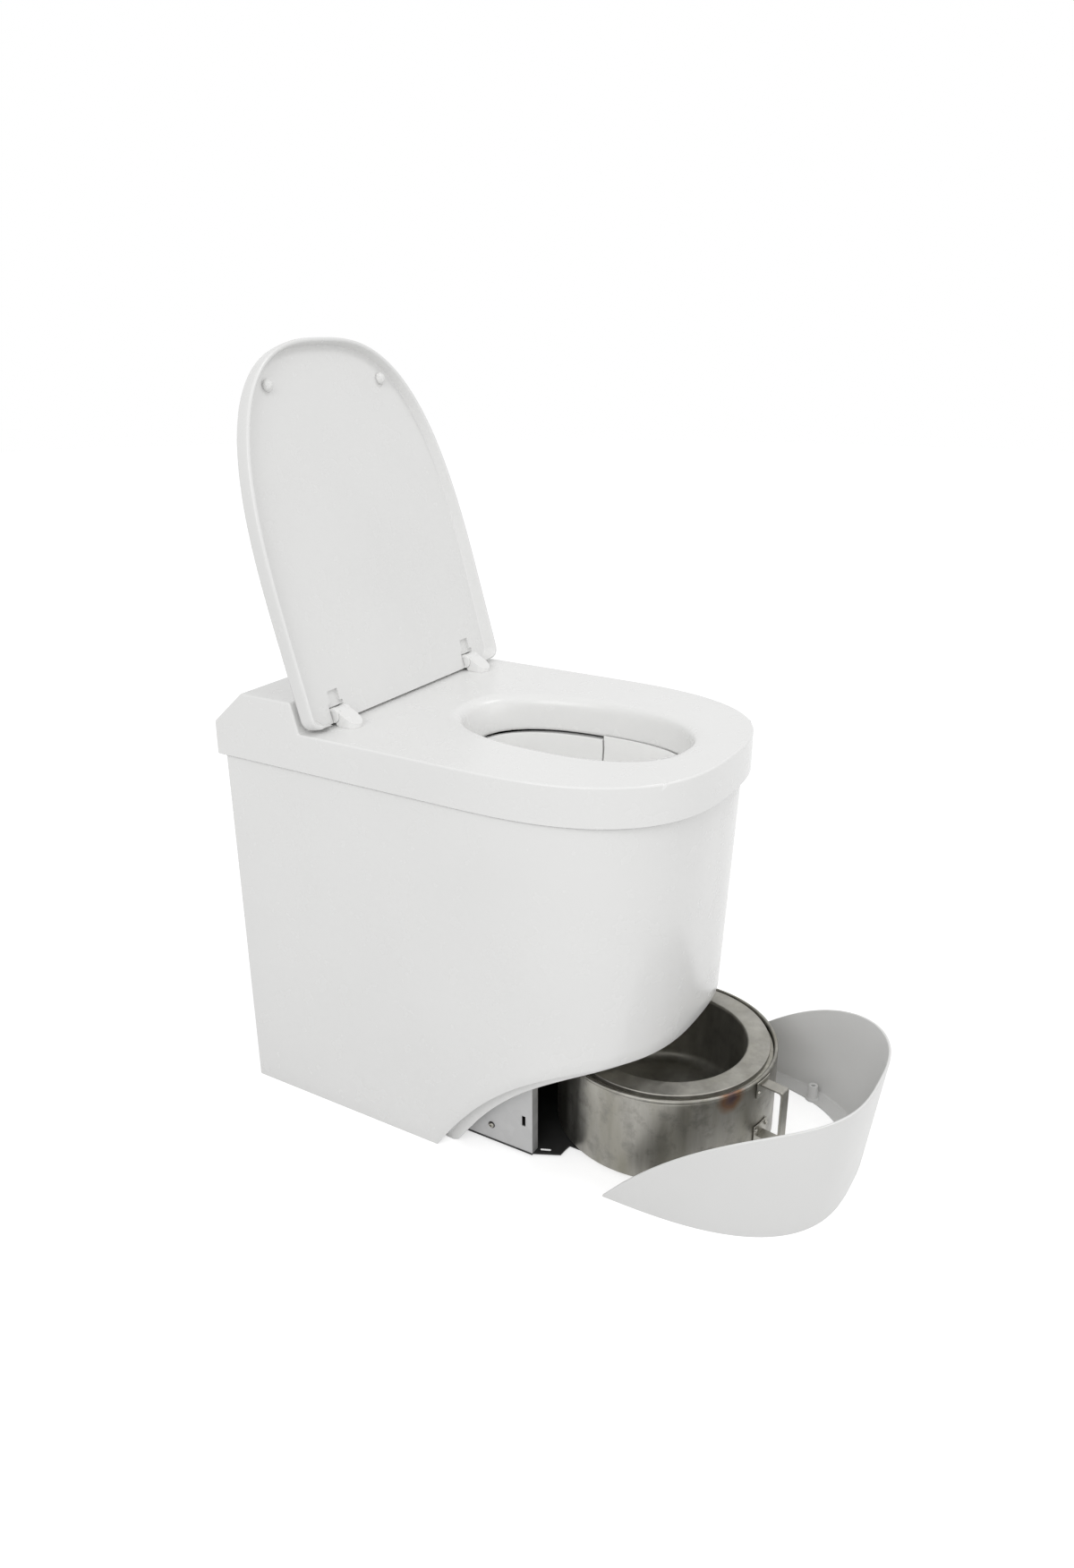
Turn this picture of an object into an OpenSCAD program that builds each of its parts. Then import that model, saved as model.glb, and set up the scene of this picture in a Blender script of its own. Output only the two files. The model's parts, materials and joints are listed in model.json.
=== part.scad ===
// Electric incinerating toilet with its lid open, its ash container drawn out
// and its front cover set down in front.
// X runs across, the user sits facing -Y, Z is up and the floor is Z = 0.

/* [Seat top] */
// Overall width of the seat top
top_w = 390; // [370:1:410]
// Height of the seat above the floor
seat_h = 501; // [491:1:520]
// From the middle of the body to the rear face of the seat top
top_rear = 300; // [294:1:310]
// From the middle of the body to the nose of the seat top
top_nose = 285.5; // [281:0.5:293]
// From the middle of the body forward to where the sides start to curve in
top_bend = 40; // [30:1:50]
// Squareness of the rounded front, where 2 is an ellipse
top_power = 2.66; // [2.46:0.02:2.8]
// Depth of the skirt below the seat
skirt_depth = 47; // [43:1:55]
// Thickness of the seat top moulding
top_wall = 4; // [3.5:0.1:4.5]
// Radius of the rolled edge of the seat
edge_r = 8; // [6:0.5:12]

/* [Rear housing] */
// Height of the rear housing above the seat
housing_h = 36; // [32:1:40]
// From the middle of the body back to the foot of the housing's front face
housing_front = 168; // [166:1:172]
// Depth of the sloped face at the back of the housing
housing_slope = 47; // [40:1:52]
// How far the front face of the housing leans back
housing_lean = 10; // [8:0.5:12]

/* [Seat dish] */
// Width of the seat dish where it meets the seat
dish_w = 202; // [196:1:208]
// Length of the seat dish where it meets the seat
dish_len = 320; // [312:1:324]
// From the middle of the body forward to the widest place of the dish
dish_centre = 100; // [96:1:104]
// How far the dish narrows on each side on its way down
dish_draw = 12; // [9:0.5:14]
// How far the nose of the dish draws in on its way down
dish_nose_draw = 25; // [22:0.5:28]
// How far the rear of the dish draws in on its way down
dish_rear_draw = 19; // [15:0.5:21]
// Depth of the dish
dish_depth = 43; // [40:1:45]

/* [Outer shell] */
// How far the seat top stands out over the shell on each side
shell_side_in = 4.3; // [4.2:0.1:6]
// How far the nose of the seat top stands out over the shell
shell_nose_in = 9.6; // [8:0.2:12.6]
// How far the rear of the seat top stands out over the shell
shell_rear_in = 7; // [6:0.1:9]
// How far the rear of the shell draws in at the floor
shell_lean = 7.7; // [4:0.1:9]
// How far each side of the shell spreads at the floor
shell_flare = 4; // [2:0.5:6]
// How far the nose of the shell draws in at the floor
shell_rake = 22.5; // [18:0.5:26]
// Thickness of the shell
shell_wall = 3.5; // [3:0.1:4]
// Height of the cut at the nose
cut_h = 158; // [155:1:166]
// From the middle of the body forward to where the cut leaves the floor
cut_tip = 7; // [3:1:12]
// How fast the cut climbs behind the nose
cut_power = 2.5; // [2.35:0.05:2.6]
// How far the lip behind the cut stands in from the shell at its tips
lip_in = 19.5; // [17:0.5:20.5]
// How far the lip hangs below the cut near its tips
lip_drop = 25; // [20:1:28]
// Thickness of the lip
lip_wall = 2.5; // [2:0.1:2.8]

/* [Front cover] */
// Width of the front cover
cover_w = 338; // [330:1:340]
// How far the front cover stays below the cut at its nose
cover_below = 7.5; // [7:0.5:12]
// How far the nose of the cover stands out at its top
cover_rake = 19; // [14:0.5:21]
// Thickness of the cover
cover_wall = 3; // [2.5:0.1:3.5]
// How far the cover stands out in front of its place
cover_out = 213; // [200:1:230]
// How far it stands to the left of its place
cover_aside = 5; // [0:0.5:8]
// Width of the foot ring of the cover
foot_ring_w = 22; // [16:1:24]
// Thickness of the foot ring
foot_ring_t = 2.8; // [2:0.1:3]
// Diameter of the screw posts
post_d = 13; // [11:0.5:15]
// Height of the screw posts
post_h = 21; // [16:1:26]
// Diameter of the hole in a screw post
post_bore = 5; // [3:0.5:6]

/* [Ash container] */
// Diameter of the outer drum
drum_d = 270; // [264:1:270]
// Height of the outer drum
drum_h = 114; // [108:1:115]
// Thickness of the drum's sheet
drum_wall = 1.6; // [1.2:0.1:2]
// Diameter of the inner pot
pot_d = 194; // [186:1:200]
// Depth of the inner pot
pot_depth = 98; // [90:1:100]
// Diameter of the flange on the pot
flange_d = 251; // [246:1:254]
// How far the container is drawn out of the body
container_out = 140; // [135:1:145]
// How far the handle stands off the drum
handle_reach = 30; // [26:1:31]
// Height of the handle
handle_h = 74; // [60:1:78]
// Width of the handle's strap
handle_w = 15; // [12:1:18]
// Thickness of the handle's strap
handle_t = 3; // [2.5:0.5:4]
// Turn of the handle from straight ahead, in degrees
handle_turn = 9.4; // [5:0.2:12]

/* [Bowl] */
// Height of the bowl halves
bowl_h = 119; // [110:1:121]
// Thickness of the bowl
bowl_wall = 4; // [3.5:0.1:4.5]
// Gap between the two halves of the bowl
bowl_split = 2.4; // [1.6:0.2:3.2]
// From the middle of the body forward to the split of the bowl
bowl_centre = 79; // [78:0.5:81]
// Diameter of the bowl's hinge pins
bowl_pin_d = 6; // [5:0.5:6.5]

/* [Lid] */
// How far the sides of the lid stand in from those of the seat
lid_in = 0.5; // [0.5:0.1:3]
// How far the nose of the lid stops short of the seat's
lid_nose_in = 14; // [11:0.5:18]
// Depth of the lid from its face to its rim
lid_depth = 22.5; // [21:0.5:23]
// Thickness of the lid's panel
lid_wall = 3; // [2.5:0.1:3.5]
// How far the open lid leans back from upright, in degrees
lid_lean = 16.1; // [14:0.1:17]
// From the middle of the body back to the lid's hinge axis
lid_hinge_y = 154; // [152:0.5:155]
// Height of the lid's hinge axis above the seat
lid_hinge_rise = 12; // [11.5:0.1:12.5]
// Distance between the two lid hinges
hinge_spread = 274; // [260:1:284]
// Diameter of the lid's hinge pins
hinge_pin_d = 6; // [5:0.5:7]

/* [Chassis] */
// Width over the chassis side plates
chassis_w = 312; // [308:1:314]
// Thickness of the chassis sheet
chassis_t = 1.5; // [1.2:0.1:2]
// From the middle of the body forward to the front of the side plates
chassis_front = 120; // [114:1:122]
// Thickness of the board under the base pan
board_t = 3.4; // [3:0.1:4]
// How far the bowl frame lies below the lower rim of the dish
frame_below = 14; // [12:1:16]

/* [Burning chamber] */
// Diameter of the chamber hood
hood_d = 256; // [250:1:262]
// Height of the cross shelf that carries the chamber
shelf_h = 224; // [216:1:226]
// Diameter of the bag chute's throat
throat_d = 164; // [154:1:174]
// Diameter of the bag chute's mouth
chute_d = 244; // [232:1:250]
// Diameter of the heating element's ring
element_d = 176; // [166:1:186]
// Diameter of the heating element's rod
element_rod = 8; // [6.5:0.5:10]

/* [Exhaust] */
// Outer diameter of the exhaust spigot
spigot_d = 110; // [100:1:112]
// Free length of the exhaust spigot behind its stop bead
spigot_len = 45; // [36:1:70]
// Outer diameter of the exhaust duct
duct_d = 60; // [50:1:64]
// Diameter of the catalyst canister
catalyst_d = 88; // [80:1:89]
// Diameter of the fan housing
fan_d = 124; // [120:1:130]
// Height of the fan's axis above the floor
fan_h = 355; // [350:1:362]
// Number of blades on the fan
blade_count = 9; // [7:1:11]

/* [Control] */
// Diameter of the start button
button_d = 17; // [14:0.5:18]
// Travel of the start button
button_travel = 2.5; // [1.5:0.1:3]

/* [Hidden] */

// Running gap between pieces that only just clear each other
gap = 0.3;
// Radial clearance of a pin that turns in its bore
pin_gap = 0.05;
// Overlap of solids that are one piece
bite = 0.5;
// Smoothness of round pieces
fine = 96;
small = 32;

white = [0.90, 0.90, 0.89];
steel = [0.62, 0.61, 0.58];
grey = [0.55, 0.56, 0.57];
dark = [0.15, 0.15, 0.16];

// Levels above the floor
top_z = seat_h;
skirt_z = seat_h - skirt_depth;
shell_top = skirt_z + 16;
pan_z = board_t;
pan_top = pan_z + chassis_t;
drum_z = pan_top + gap;
drum_top = drum_z + drum_h;
flange_z = drum_top + 1.5;
housing_z = top_z + housing_h;
deck_z = housing_z - top_wall;
shelf_top = shelf_h + chassis_t;
frame_h = top_z - dish_depth - frame_below;
frame_top = frame_h + 2;

// Raises a number to a power and keeps its sign
function spow(v, p) = sign(v) * pow(abs(v), p);

// A station is a place along a plan outline, as [kind, value, side]:
// 0 is a rear corner by angle, 1 a side by its Y, 2 the rounded front by angle, 3 the rear edge by share
function plan_point(st, hw, bend, nose, power, rear, corner) =
    st[0] == 0 ? [st[2] * (hw - corner + corner * cos(st[1])), rear - corner + corner * sin(st[1])] :
    st[0] == 1 ? [st[2] * hw, st[1]] :
    st[0] == 2 ? [hw * spow(cos(st[1]), 2 / power), bend - (bend - nose) * pow(sin(st[1]), 2 / power)] :
    [st[1] * (hw - corner), rear];

// Stations from the right side round the front to the left side
function front_stations(side_ys, step) = concat(
    [for (y = side_ys) [1, y, 1]],
    [for (a = [0:step:180]) [2, a, 1]],
    [for (i = [len(side_ys) - 1:-1:0]) [1, side_ys[i], -1]]);

// The same, closed round the back
function full_stations(side_ys, step, rear_shares) = concat(
    [for (v = [90:-30:0]) [0, v, 1]],
    front_stations(side_ys, step),
    [for (v = [0:30:90]) [0, v, -1]],
    [for (s = rear_shares) [3, s, 0]]);

// Skins a row of rings that have the same number of points; rings run clockwise seen from the last one.
// The ends are closed with one face each, or with a fan round their middle
function middle(ring) = [for (q = ring) 1] * ring / len(ring);
module skin(rings, closed = false, fan = false) {
    k = len(rings[0]);
    m = len(rings);
    sides = [for (i = [0:m - (closed ? 1 : 2)], j = [0:k - 1])
        let (a = i * k, b = ((i + 1) % m) * k, n = (j + 1) % k)
        each [[a + n, b + n, b + j], [a + n, b + j, a + j]]];
    first = fan ? [for (j = [0:k - 1]) [m * k, (j + 1) % k, j]] : [[for (j = [k - 1:-1:0]) j]];
    last = fan ? [for (j = [0:k - 1]) [m * k + 1, (m - 1) * k + j, (m - 1) * k + (j + 1) % k]]
        : [[for (j = [0:k - 1]) (m - 1) * k + j]];
    polyhedron(points = concat([for (ring = rings) each ring], fan ? [middle(rings[0]), middle(rings[m - 1])] : []),
        faces = closed ? sides : concat(sides, first, last), convexity = 8);
}

// Moves every edge of a clockwise or counter-clockwise outline inward by d
function edge_normal(a, b, s) = let (d = b - a) s * [-d[1], d[0]] / norm(d);
function turn_of(p) = sign([for (i = [0:len(p) - 1])
    let (a = p[i], b = p[(i + 1) % len(p)]) a[0] * b[1] - a[1] * b[0]] * [for (q = p) 1]);
function inset(p, d) = let (s = turn_of(p), n = len(p)) [for (i = [0:n - 1])
    let (e = edge_normal(p[(i + n - 1) % n], p[i], s), f = edge_normal(p[i], p[(i + 1) % n], s))
    p[i] + d * (e + f) / (1 + e * f)];

// Cylinders along X and along Y, from their low end
module x_rod(x, y, z, r, h, fn = small) {
    translate([x, y, z]) rotate([0, 90, 0]) cylinder(r = r, h = h, $fn = fn);
}
module y_rod(x, y, z, r, h, fn = small) {
    translate([x, y, z]) rotate([-90, 0, 0]) cylinder(r = r, h = h, $fn = fn);
}
module z_rod(x, y, z, r, h, fn = small) {
    translate([x, y, z]) cylinder(r = r, h = h, $fn = fn);
}
function both_halves(half) = concat(half, [for (i = [len(half) - 1:-1:0]) [-half[i][0], half[i][1]]]);
module on_both_sides() {
    children();
    mirror([1, 0, 0]) children();
}
// A ring turned round the vertical axis, between two radii and two heights
module ring(r1, r2, z1, z2, fn = fine) {
    translate([0, 0, z1]) rotate_extrude($fn = fn)
        translate([r1, 0]) square([r2 - r1, z2 - z1]);
}

// Height of the cut edge at a place along the body
function climb(y, tip, nose, h, power) =
    let (u = min(1, max(0, (tip - y) / (tip - nose)))) h * (1 - pow(1 - u, power));

// Outer shell
function shell_rear(z) = top_rear - shell_rear_in - shell_lean * (1 - z / shell_top);
back_angle = atan(shell_lean / shell_top);
shell_hw_top = top_w / 2 - shell_side_in;
function shell_hw(z) = shell_hw_top + shell_flare * (1 - z / shell_top);
function shell_nose(z) = -(top_nose - shell_nose_in) + shell_rake * (1 - z / shell_top);
cut_nose = shell_nose(cut_h) - 4;
function cut_z(y) = climb(y, -cut_tip, cut_nose, cut_h, cut_power);
// Share of the way from the tips of the cut to its nose
function along(y) = min(1, max(0, (-cut_tip - y) / (-cut_tip - cut_nose)));
function lip_z(y) = max(0, cut_z(y) - 5 - (lip_drop - 5) * (1 - pow(along(y), 1.4)));
function lip_inset(y) = lip_in * (0.5 + 0.5 * pow(1 - along(y), 1.5));
function shell_point(st, z, d) = let (p = plan_point(st, shell_hw(z) - d, -top_bend,
    shell_nose(z) + d, top_power, shell_rear(z) - d, max(6 - d, 2))) [p[0], p[1], z];
function shell_y(st) = shell_point(st, cut_h / 2, 0)[1];
shell_step = 5;
shell_ys = [200, 110, 30, -cut_tip, -cut_tip - 8, -cut_tip - 16, -cut_tip - 25];
lip_ys = [2, -cut_tip, -cut_tip - 8, -cut_tip - 16, -cut_tip - 25];
service_w = 286;
service_z = 24;
service_h = 418;

// The plane of the leaning rear wall, with its outer face at Y = 0
module at_back() translate([0, shell_rear(0), 0]) rotate([-back_angle, 0, 0]) children();

module shell_lip() {
    places = front_stations(lip_ys, shell_step);
    rise = 11;
    skin([for (st = places) let (
        y = shell_y(st), cut = cut_z(y), in = lip_inset(y), root = shell_wall - bite, back = in - 3)
        [shell_point(st, cut + rise, root), shell_point(st, cut + 2, back),
         shell_point(st, lip_z(y), in), shell_point(st, lip_z(y), in + lip_wall),
         shell_point(st, cut + 3, back + lip_wall), shell_point(st, cut + rise + 4, root + 1)]]);
}

module outer_shell() color(white) {
    places = full_stations(shell_ys, shell_step, []);
    difference() {
        skin([[for (st = places) shell_point(st, cut_z(shell_y(st)), 0)],
              [for (st = places) shell_point(st, shell_top, 0)],
              [for (st = places) shell_point(st, shell_top, shell_wall)],
              [for (st = places) shell_point(st, cut_z(shell_y(st)), shell_wall)]], closed = true);
        at_back() translate([-service_w / 2, -10, service_z]) cube([service_w, 20, service_h]);
        at_back() for (x = screw_xs, z = screw_zs) y_rod(x, -10, z, screw_r + 0.1, 20);
    }
    shell_lip();
}

// Seat top
dish_rear = dish_len * 0.53;
dish_front = dish_len - dish_rear;
// Outlines of the dish as half width, reach to the rear, reach to the front and squareness
dish_edge = [dish_w / 2, dish_rear, dish_front, 2.6];
dish_brow = [dish_w / 2 - 5, dish_rear - 6, dish_front - 19, 2.15];
dish_rim = [dish_w / 2 - dish_draw, dish_rear - dish_rear_draw, dish_front - dish_nose_draw, 2.45];
function between(a, b, t) = a + (b - a) * t;
top_corner = 5.5;
function top_point(st, z, d) = let (p = plan_point(st, top_w / 2 - d, -top_bend, -top_nose + d,
    top_power, top_rear - d, max(top_corner - d, 2))) [p[0], p[1], z];
// Place on one of the dish's outlines, grown by g, in the direction of a station
function oval_radius(a, o, g) = 1 / pow(pow(abs(cos(a)) / (o[0] + g), o[3])
    + pow(abs(sin(a)) / ((sin(a) > 0 ? o[1] : o[2]) + g), o[3]), 1 / o[3]);
function dish_point(st, z, o, g) = let (p = top_point(st, 0, 0), a = atan2(p[1] + dish_centre, p[0]),
    r = oval_radius(a, o, g)) [r * cos(a), r * sin(a) - dish_centre, z];
top_ys = [268, 230, 190, 150, 110, 70, 30, -5];
top_places = full_stations(top_ys, 6, [-0.8, -0.6, -0.4, -0.2, 0, 0.2, 0.4, 0.6, 0.8]);
dish_z = top_z - dish_depth;

// Side view of the rear housing, as [Y, Z]. It rises out of the rolled edge a little way in from the skirt
housing_in = 0.4;
housing_rear = top_rear - housing_in;
housing_foot = top_z - 20;
housing_side = [[housing_front, housing_foot], [housing_front + 1, top_z + 2],
    [housing_front + housing_lean - 1.5, housing_z - 7], [housing_front + housing_lean + 0.5, housing_z - 2.2],
    [housing_front + housing_lean + 5.5, housing_z], [top_rear - housing_slope - 2, housing_z],
    [top_rear - housing_slope + 2, housing_z - 1.4], [housing_rear - 1.5, top_z - 4],
    [housing_rear, top_z - 8], [housing_rear, housing_foot]];
housing_hollow = [[housing_front + 5, top_z + 4], [housing_front + housing_lean + 3, deck_z],
    [top_rear - housing_slope - 2, deck_z], [housing_rear - top_wall, top_z - 9],
    [housing_rear - top_wall, skirt_z + 6], [housing_front + 5, skirt_z + 6]];

// A profile drawn as [Y, Z] and carried along X, with its two ends rounded over
module rounded_bar(profile, hw, r) {
    ends = [for (t = [0:30:90]) [hw - r + r * cos(t), r * (1 - sin(t))]];
    cuts = concat([for (e = ends) [-e[0], e[1]]], [for (i = [len(ends) - 1:-1:0]) ends[i]]);
    skin([for (c = cuts) [for (q = inset(profile, c[1])) [c[0], q[0], q[1]]]]);
}
module along_x(profile, hw) {
    translate([-hw, 0, 0]) rotate([90, 0, 90]) linear_extrude(2 * hw) polygon(profile);
}

button_x = 58;
deck_y = (housing_front + housing_lean + top_rear - housing_slope) / 2 + 2;
lamp_xs = [-40, -22, -4];
lamp_d = 5;

module seat_top() color(white) {
    roll = [for (t = [0:22.5:90]) [edge_r * (1 - cos(t)), top_z - edge_r + edge_r * sin(t)]];
    difference() {
        union() {
            skin(concat(
                [[for (st = top_places) top_point(st, skirt_z, 1.2)],
                 [for (st = top_places) top_point(st, skirt_z + 1.5, 0)]],
                [for (q = roll) [for (st = top_places) top_point(st, q[1], q[0])]],
                [[for (st = top_places) dish_point(st, top_z, dish_edge, 5)],
                 [for (st = top_places) dish_point(st, top_z - 0.7, dish_edge, 0)],
                 [for (st = top_places) dish_point(st, top_z - 3, dish_brow, 0)],
                 [for (st = top_places) dish_point(st, top_z - 9, between(dish_brow, dish_rim, 0.3), 0)],
                 [for (st = top_places) dish_point(st, top_z - 22, between(dish_brow, dish_rim, 0.6), 0)],
                 [for (st = top_places) dish_point(st, dish_z + 4, dish_rim, 0)],
                 [for (st = top_places) dish_point(st, dish_z, dish_rim, 1)],
                 [for (st = top_places) dish_point(st, dish_z, dish_rim, top_wall)],
                 [for (st = top_places) dish_point(st, top_z - 22, between(dish_brow, dish_rim, 0.6), top_wall)],
                 [for (st = top_places) dish_point(st, top_z - top_wall - 1.5, dish_edge, 3)],
                 [for (st = top_places) top_point(st, top_z - top_wall - 1.5, edge_r + 4)],
                 [for (st = top_places) top_point(st, top_z - edge_r - 2, top_wall)],
                 [for (st = top_places) top_point(st, skirt_z, top_wall)]]), closed = true);
            rounded_bar(housing_side, top_w / 2 - housing_in, 5);
        }
        along_x(housing_hollow, top_w / 2 - top_wall - housing_in);
        z_rod(button_x, deck_y, deck_z - 2, button_d / 2 + 0.6, 10);
        for (x = lamp_xs) z_rod(x, deck_y, deck_z - 2, lamp_d / 2 + 0.4, 10);
    }
}

// Service panel behind the body
panel_w = 320;
panel_z = 14;
screw_xs = [8 - panel_w / 2, panel_w / 2 - 8];
screw_zs = [30, 230, 430];
screw_r = 2;
panel_h = skirt_z - 4 - panel_z;
inlet_x = -112;
inlet_z = 70;
module rear_panel() color(grey) difference() {
    at_back() difference() {
        translate([-panel_w / 2, 0, panel_z]) cube([panel_w, chassis_t, panel_h]);
        translate([inlet_x - 14.4, -5, inlet_z - 12.4]) cube([28.8, 15, 24.8]);
        for (i = [0:7]) translate([20, -5, 50 + i * 14]) cube([90, 15, 6]);
        for (x = screw_xs, z = screw_zs) y_rod(x, -5, z, screw_r + 0.2, 15);
    }
    y_rod(0, shell_rear(fan_h) - 10, fan_h, spigot_d / 2 + 1, 25, fine);
}
module panel_screws() color(grey) at_back() {
    for (x = screw_xs, z = screw_zs) {
        y_rod(x, -shell_wall, z, screw_r, shell_wall + chassis_t + bite);
        y_rod(x, chassis_t, z, 2 * screw_r, 2);
    }
}

// Chassis side plate on the left, with turned edges and its screw hole and slot
chassis_hw = chassis_w / 2;
chassis_rear = shell_rear(0) - shell_wall;
plate_screw = [-62, 25];
plate_slot = [-108, 47];
module chassis_side() difference() {
    union() {
        translate([-chassis_hw, -chassis_front, pan_z])
            cube([chassis_t, chassis_front + chassis_rear, frame_h - pan_z]);
        translate([-chassis_hw, -chassis_front, pan_top]) cube([13, chassis_t, hood_z - 4 - pan_top]);
        translate([-chassis_hw, chassis_rear - chassis_t, pan_top]) cube([14, chassis_t, frame_h - pan_top]);
        translate([-chassis_hw, -chassis_front, frame_h - chassis_t])
            cube([14, chassis_front + chassis_rear, chassis_t]);
    }
    x_rod(-chassis_hw - 2, plate_screw[0], plate_screw[1], 2.2, 6);
    translate([-chassis_hw - 2, plate_slot[0] - 2.5, plate_slot[1] - 6]) cube([6, 5, 14]);
    x_rod(-chassis_hw - 2, plate_screw[0], 300, 12, 6);
    x_rod(-chassis_hw - 2, 90, 380, 12, 6);
}
module chassis_side_left() color(grey) chassis_side();
module chassis_side_right() color(grey) mirror([1, 0, 0]) chassis_side();
module chassis_screws() color(steel) on_both_sides() {
    x_rod(-chassis_hw - 2, plate_screw[0], plate_screw[1], 4, 2);
    x_rod(-chassis_hw - bite, plate_screw[0], plate_screw[1], 2, chassis_t + 4);
}

// Base pan with its front tongue and a turned-up tab, and the board below it
pan_hw = chassis_hw - chassis_t;
tongue_reach = 85;
module base_pan() color(grey) {
    notch = post_at[0] - post_d / 2 - cover_aside - 2;
    half = [[pan_hw, chassis_rear], [pan_hw, -chassis_front], [pan_hw - 15, -chassis_front - 30],
        [notch, -chassis_front - 31], [notch, -chassis_front - 62], [notch - 18, -chassis_front - tongue_reach]];
    translate([0, 0, pan_z]) linear_extrude(chassis_t)
        polygon(both_halves(half));
    on_both_sides() translate([17 - pan_hw, -chassis_front - 16, pan_z])
        rotate([0, 0, 24]) rotate([0, 38, 0]) translate([-12, 0, 0]) cube([12, 12, chassis_t]);
}
board_hw = pan_hw - 16.5;
board_front = chassis_front - 24;
module floor_board() color(dark)
    translate([-board_hw, -board_front, 0]) cube([2 * board_hw, board_front + chassis_rear - 6, board_t]);
runner_len = 190;
module container_runners() color(grey) on_both_sides() {
    translate([drum_d / 2 + gap, -chassis_front + 4, pan_top]) cube([chassis_t, runner_len, 12]);
    translate([drum_d / 2 + gap, -chassis_front + 4, pan_top]) cube([9, runner_len, chassis_t]);
}

// Burning chamber, on the vertical axis of the container when it is home
home_y = container_out - 222;
hood_r = hood_d / 2;
throat_r = throat_d / 2;
hood_z = flange_z + 5.5;
duct_y = 110;
duct_z = shelf_h - 49;
duct_r = duct_d / 2;
element_z = shelf_h - 30;
element_r = element_d / 2;
probe_z = shelf_h - 60;
probe_angle = 205;
module at_chamber() translate([0, home_y, 0]) children();
shelf_rear = 97.5;
module cross_shelf() color(grey) difference() {
    translate([-pan_hw, -chassis_front + chassis_t, shelf_h])
        cube([2 * pan_hw, chassis_front - chassis_t + shelf_rear, chassis_t]);
    at_chamber() z_rod(0, 0, shelf_h - 5, throat_r + 3, 12, fine);
}
// The hood is welded from a base ring, a side wall with its holes and a roof with the neck of the throat
roof_z = shelf_h - chassis_t;
module chamber_base() color(steel) at_chamber() ring(pot_d / 2 + 1, hood_r, hood_z, hood_z + chassis_t);
module chamber_roof() color(steel) at_chamber() {
    ring(throat_r + 0.6, hood_r, roof_z, shelf_h);
    ring(throat_r + 0.6, throat_r + 2.1, roof_z, shelf_top + 4);
}
module chamber_hood() color(steel) at_chamber() difference() {
    ring(hood_r - chassis_t, hood_r, hood_z + chassis_t, roof_z);
    y_rod(0, hood_r - 20, duct_z, duct_r + gap, 40, fine);
    for (x = [-14, 14]) y_rod(x, hood_r - 20, element_z, element_rod / 2 + gap, 40);
    rotate([0, 0, probe_angle]) x_rod(hood_r - 20, 0, probe_z, 3.3, 40);
}
module chamber_insulation() color([0.88, 0.86, 0.80]) at_chamber() difference() {
    ring(hood_r + gap, hood_r + 22, hood_z + 2, shelf_h);
    y_rod(0, hood_r - 20, duct_z, duct_r + gap, 60, fine);
    for (x = [-14, 14]) y_rod(x, hood_r - 20, element_z, element_rod / 2 + gap, 60);
    rotate([0, 0, probe_angle]) x_rod(hood_r - 20, 0, probe_z, 3.3, 60);
}
module chamber_seal() color(dark) at_chamber()
    translate([0, 0, hood_z - 2.2]) rotate_extrude($fn = fine)
        translate([(pot_d + flange_d) / 4, 0]) circle(r = 2.2, $fn = 24);
module heating_element() color(steel) at_chamber() {
    end_angle = asin(14 / element_r);
    translate([0, 0, element_z]) rotate([0, 0, 90 + end_angle])
        rotate_extrude(angle = 360 - 2 * end_angle, $fn = fine)
            translate([element_r, 0]) circle(d = element_rod, $fn = 24);
    leg = element_r * cos(end_angle) - 2;
    for (x = [-14, 14]) y_rod(x, leg, element_z, element_rod / 2, hood_r + 34 - leg, 24);
}
module temperature_probe() color(steel) at_chamber() rotate([0, 0, probe_angle]) {
    x_rod(hood_r - 34, 0, probe_z, 3, 62);
    x_rod(hood_r + 22, 0, probe_z, 6, 10, 6);
}
chute_rise = 26;
module bag_chute() color(steel) at_chamber() translate([0, 0, shelf_top]) rotate_extrude($fn = fine)
    polygon([[throat_r - 1.4, -12], [throat_r, -12], [throat_r, 6], [chute_d / 2, chute_rise],
        [chute_d / 2 + 3, chute_rise + 2], [chute_d / 2 - 1, chute_rise + 2], [throat_r - 1.4, 7]]);

// Bowl, frame and pins
pivot_z = frame_top + 5;
pivot_out = 9.4;
pin_r = bowl_pin_d / 2;
ear_r = pin_r + 3;
ear_hw = 30;
// Share of the bowl's size at the height where the ears join it
ear_share = 0.985;
lug_in = 38;
lug_w = 8;
rim_z = dish_z - gap;
bowl_drop = 3.7;
bowl_hw = dish_w / 2 - dish_draw + 7;
bowl_rear = bowl_centre + dish_rear - dish_centre - dish_rear_draw + 5;
bowl_front = dish_centre + dish_front - dish_nose_draw + 4 - bowl_centre;
bowl_power = 2.2;
pivot_rear = bowl_rear - bowl_centre + pivot_out;
pivot_front = -bowl_centre - bowl_front - pivot_out - 1.2;
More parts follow.
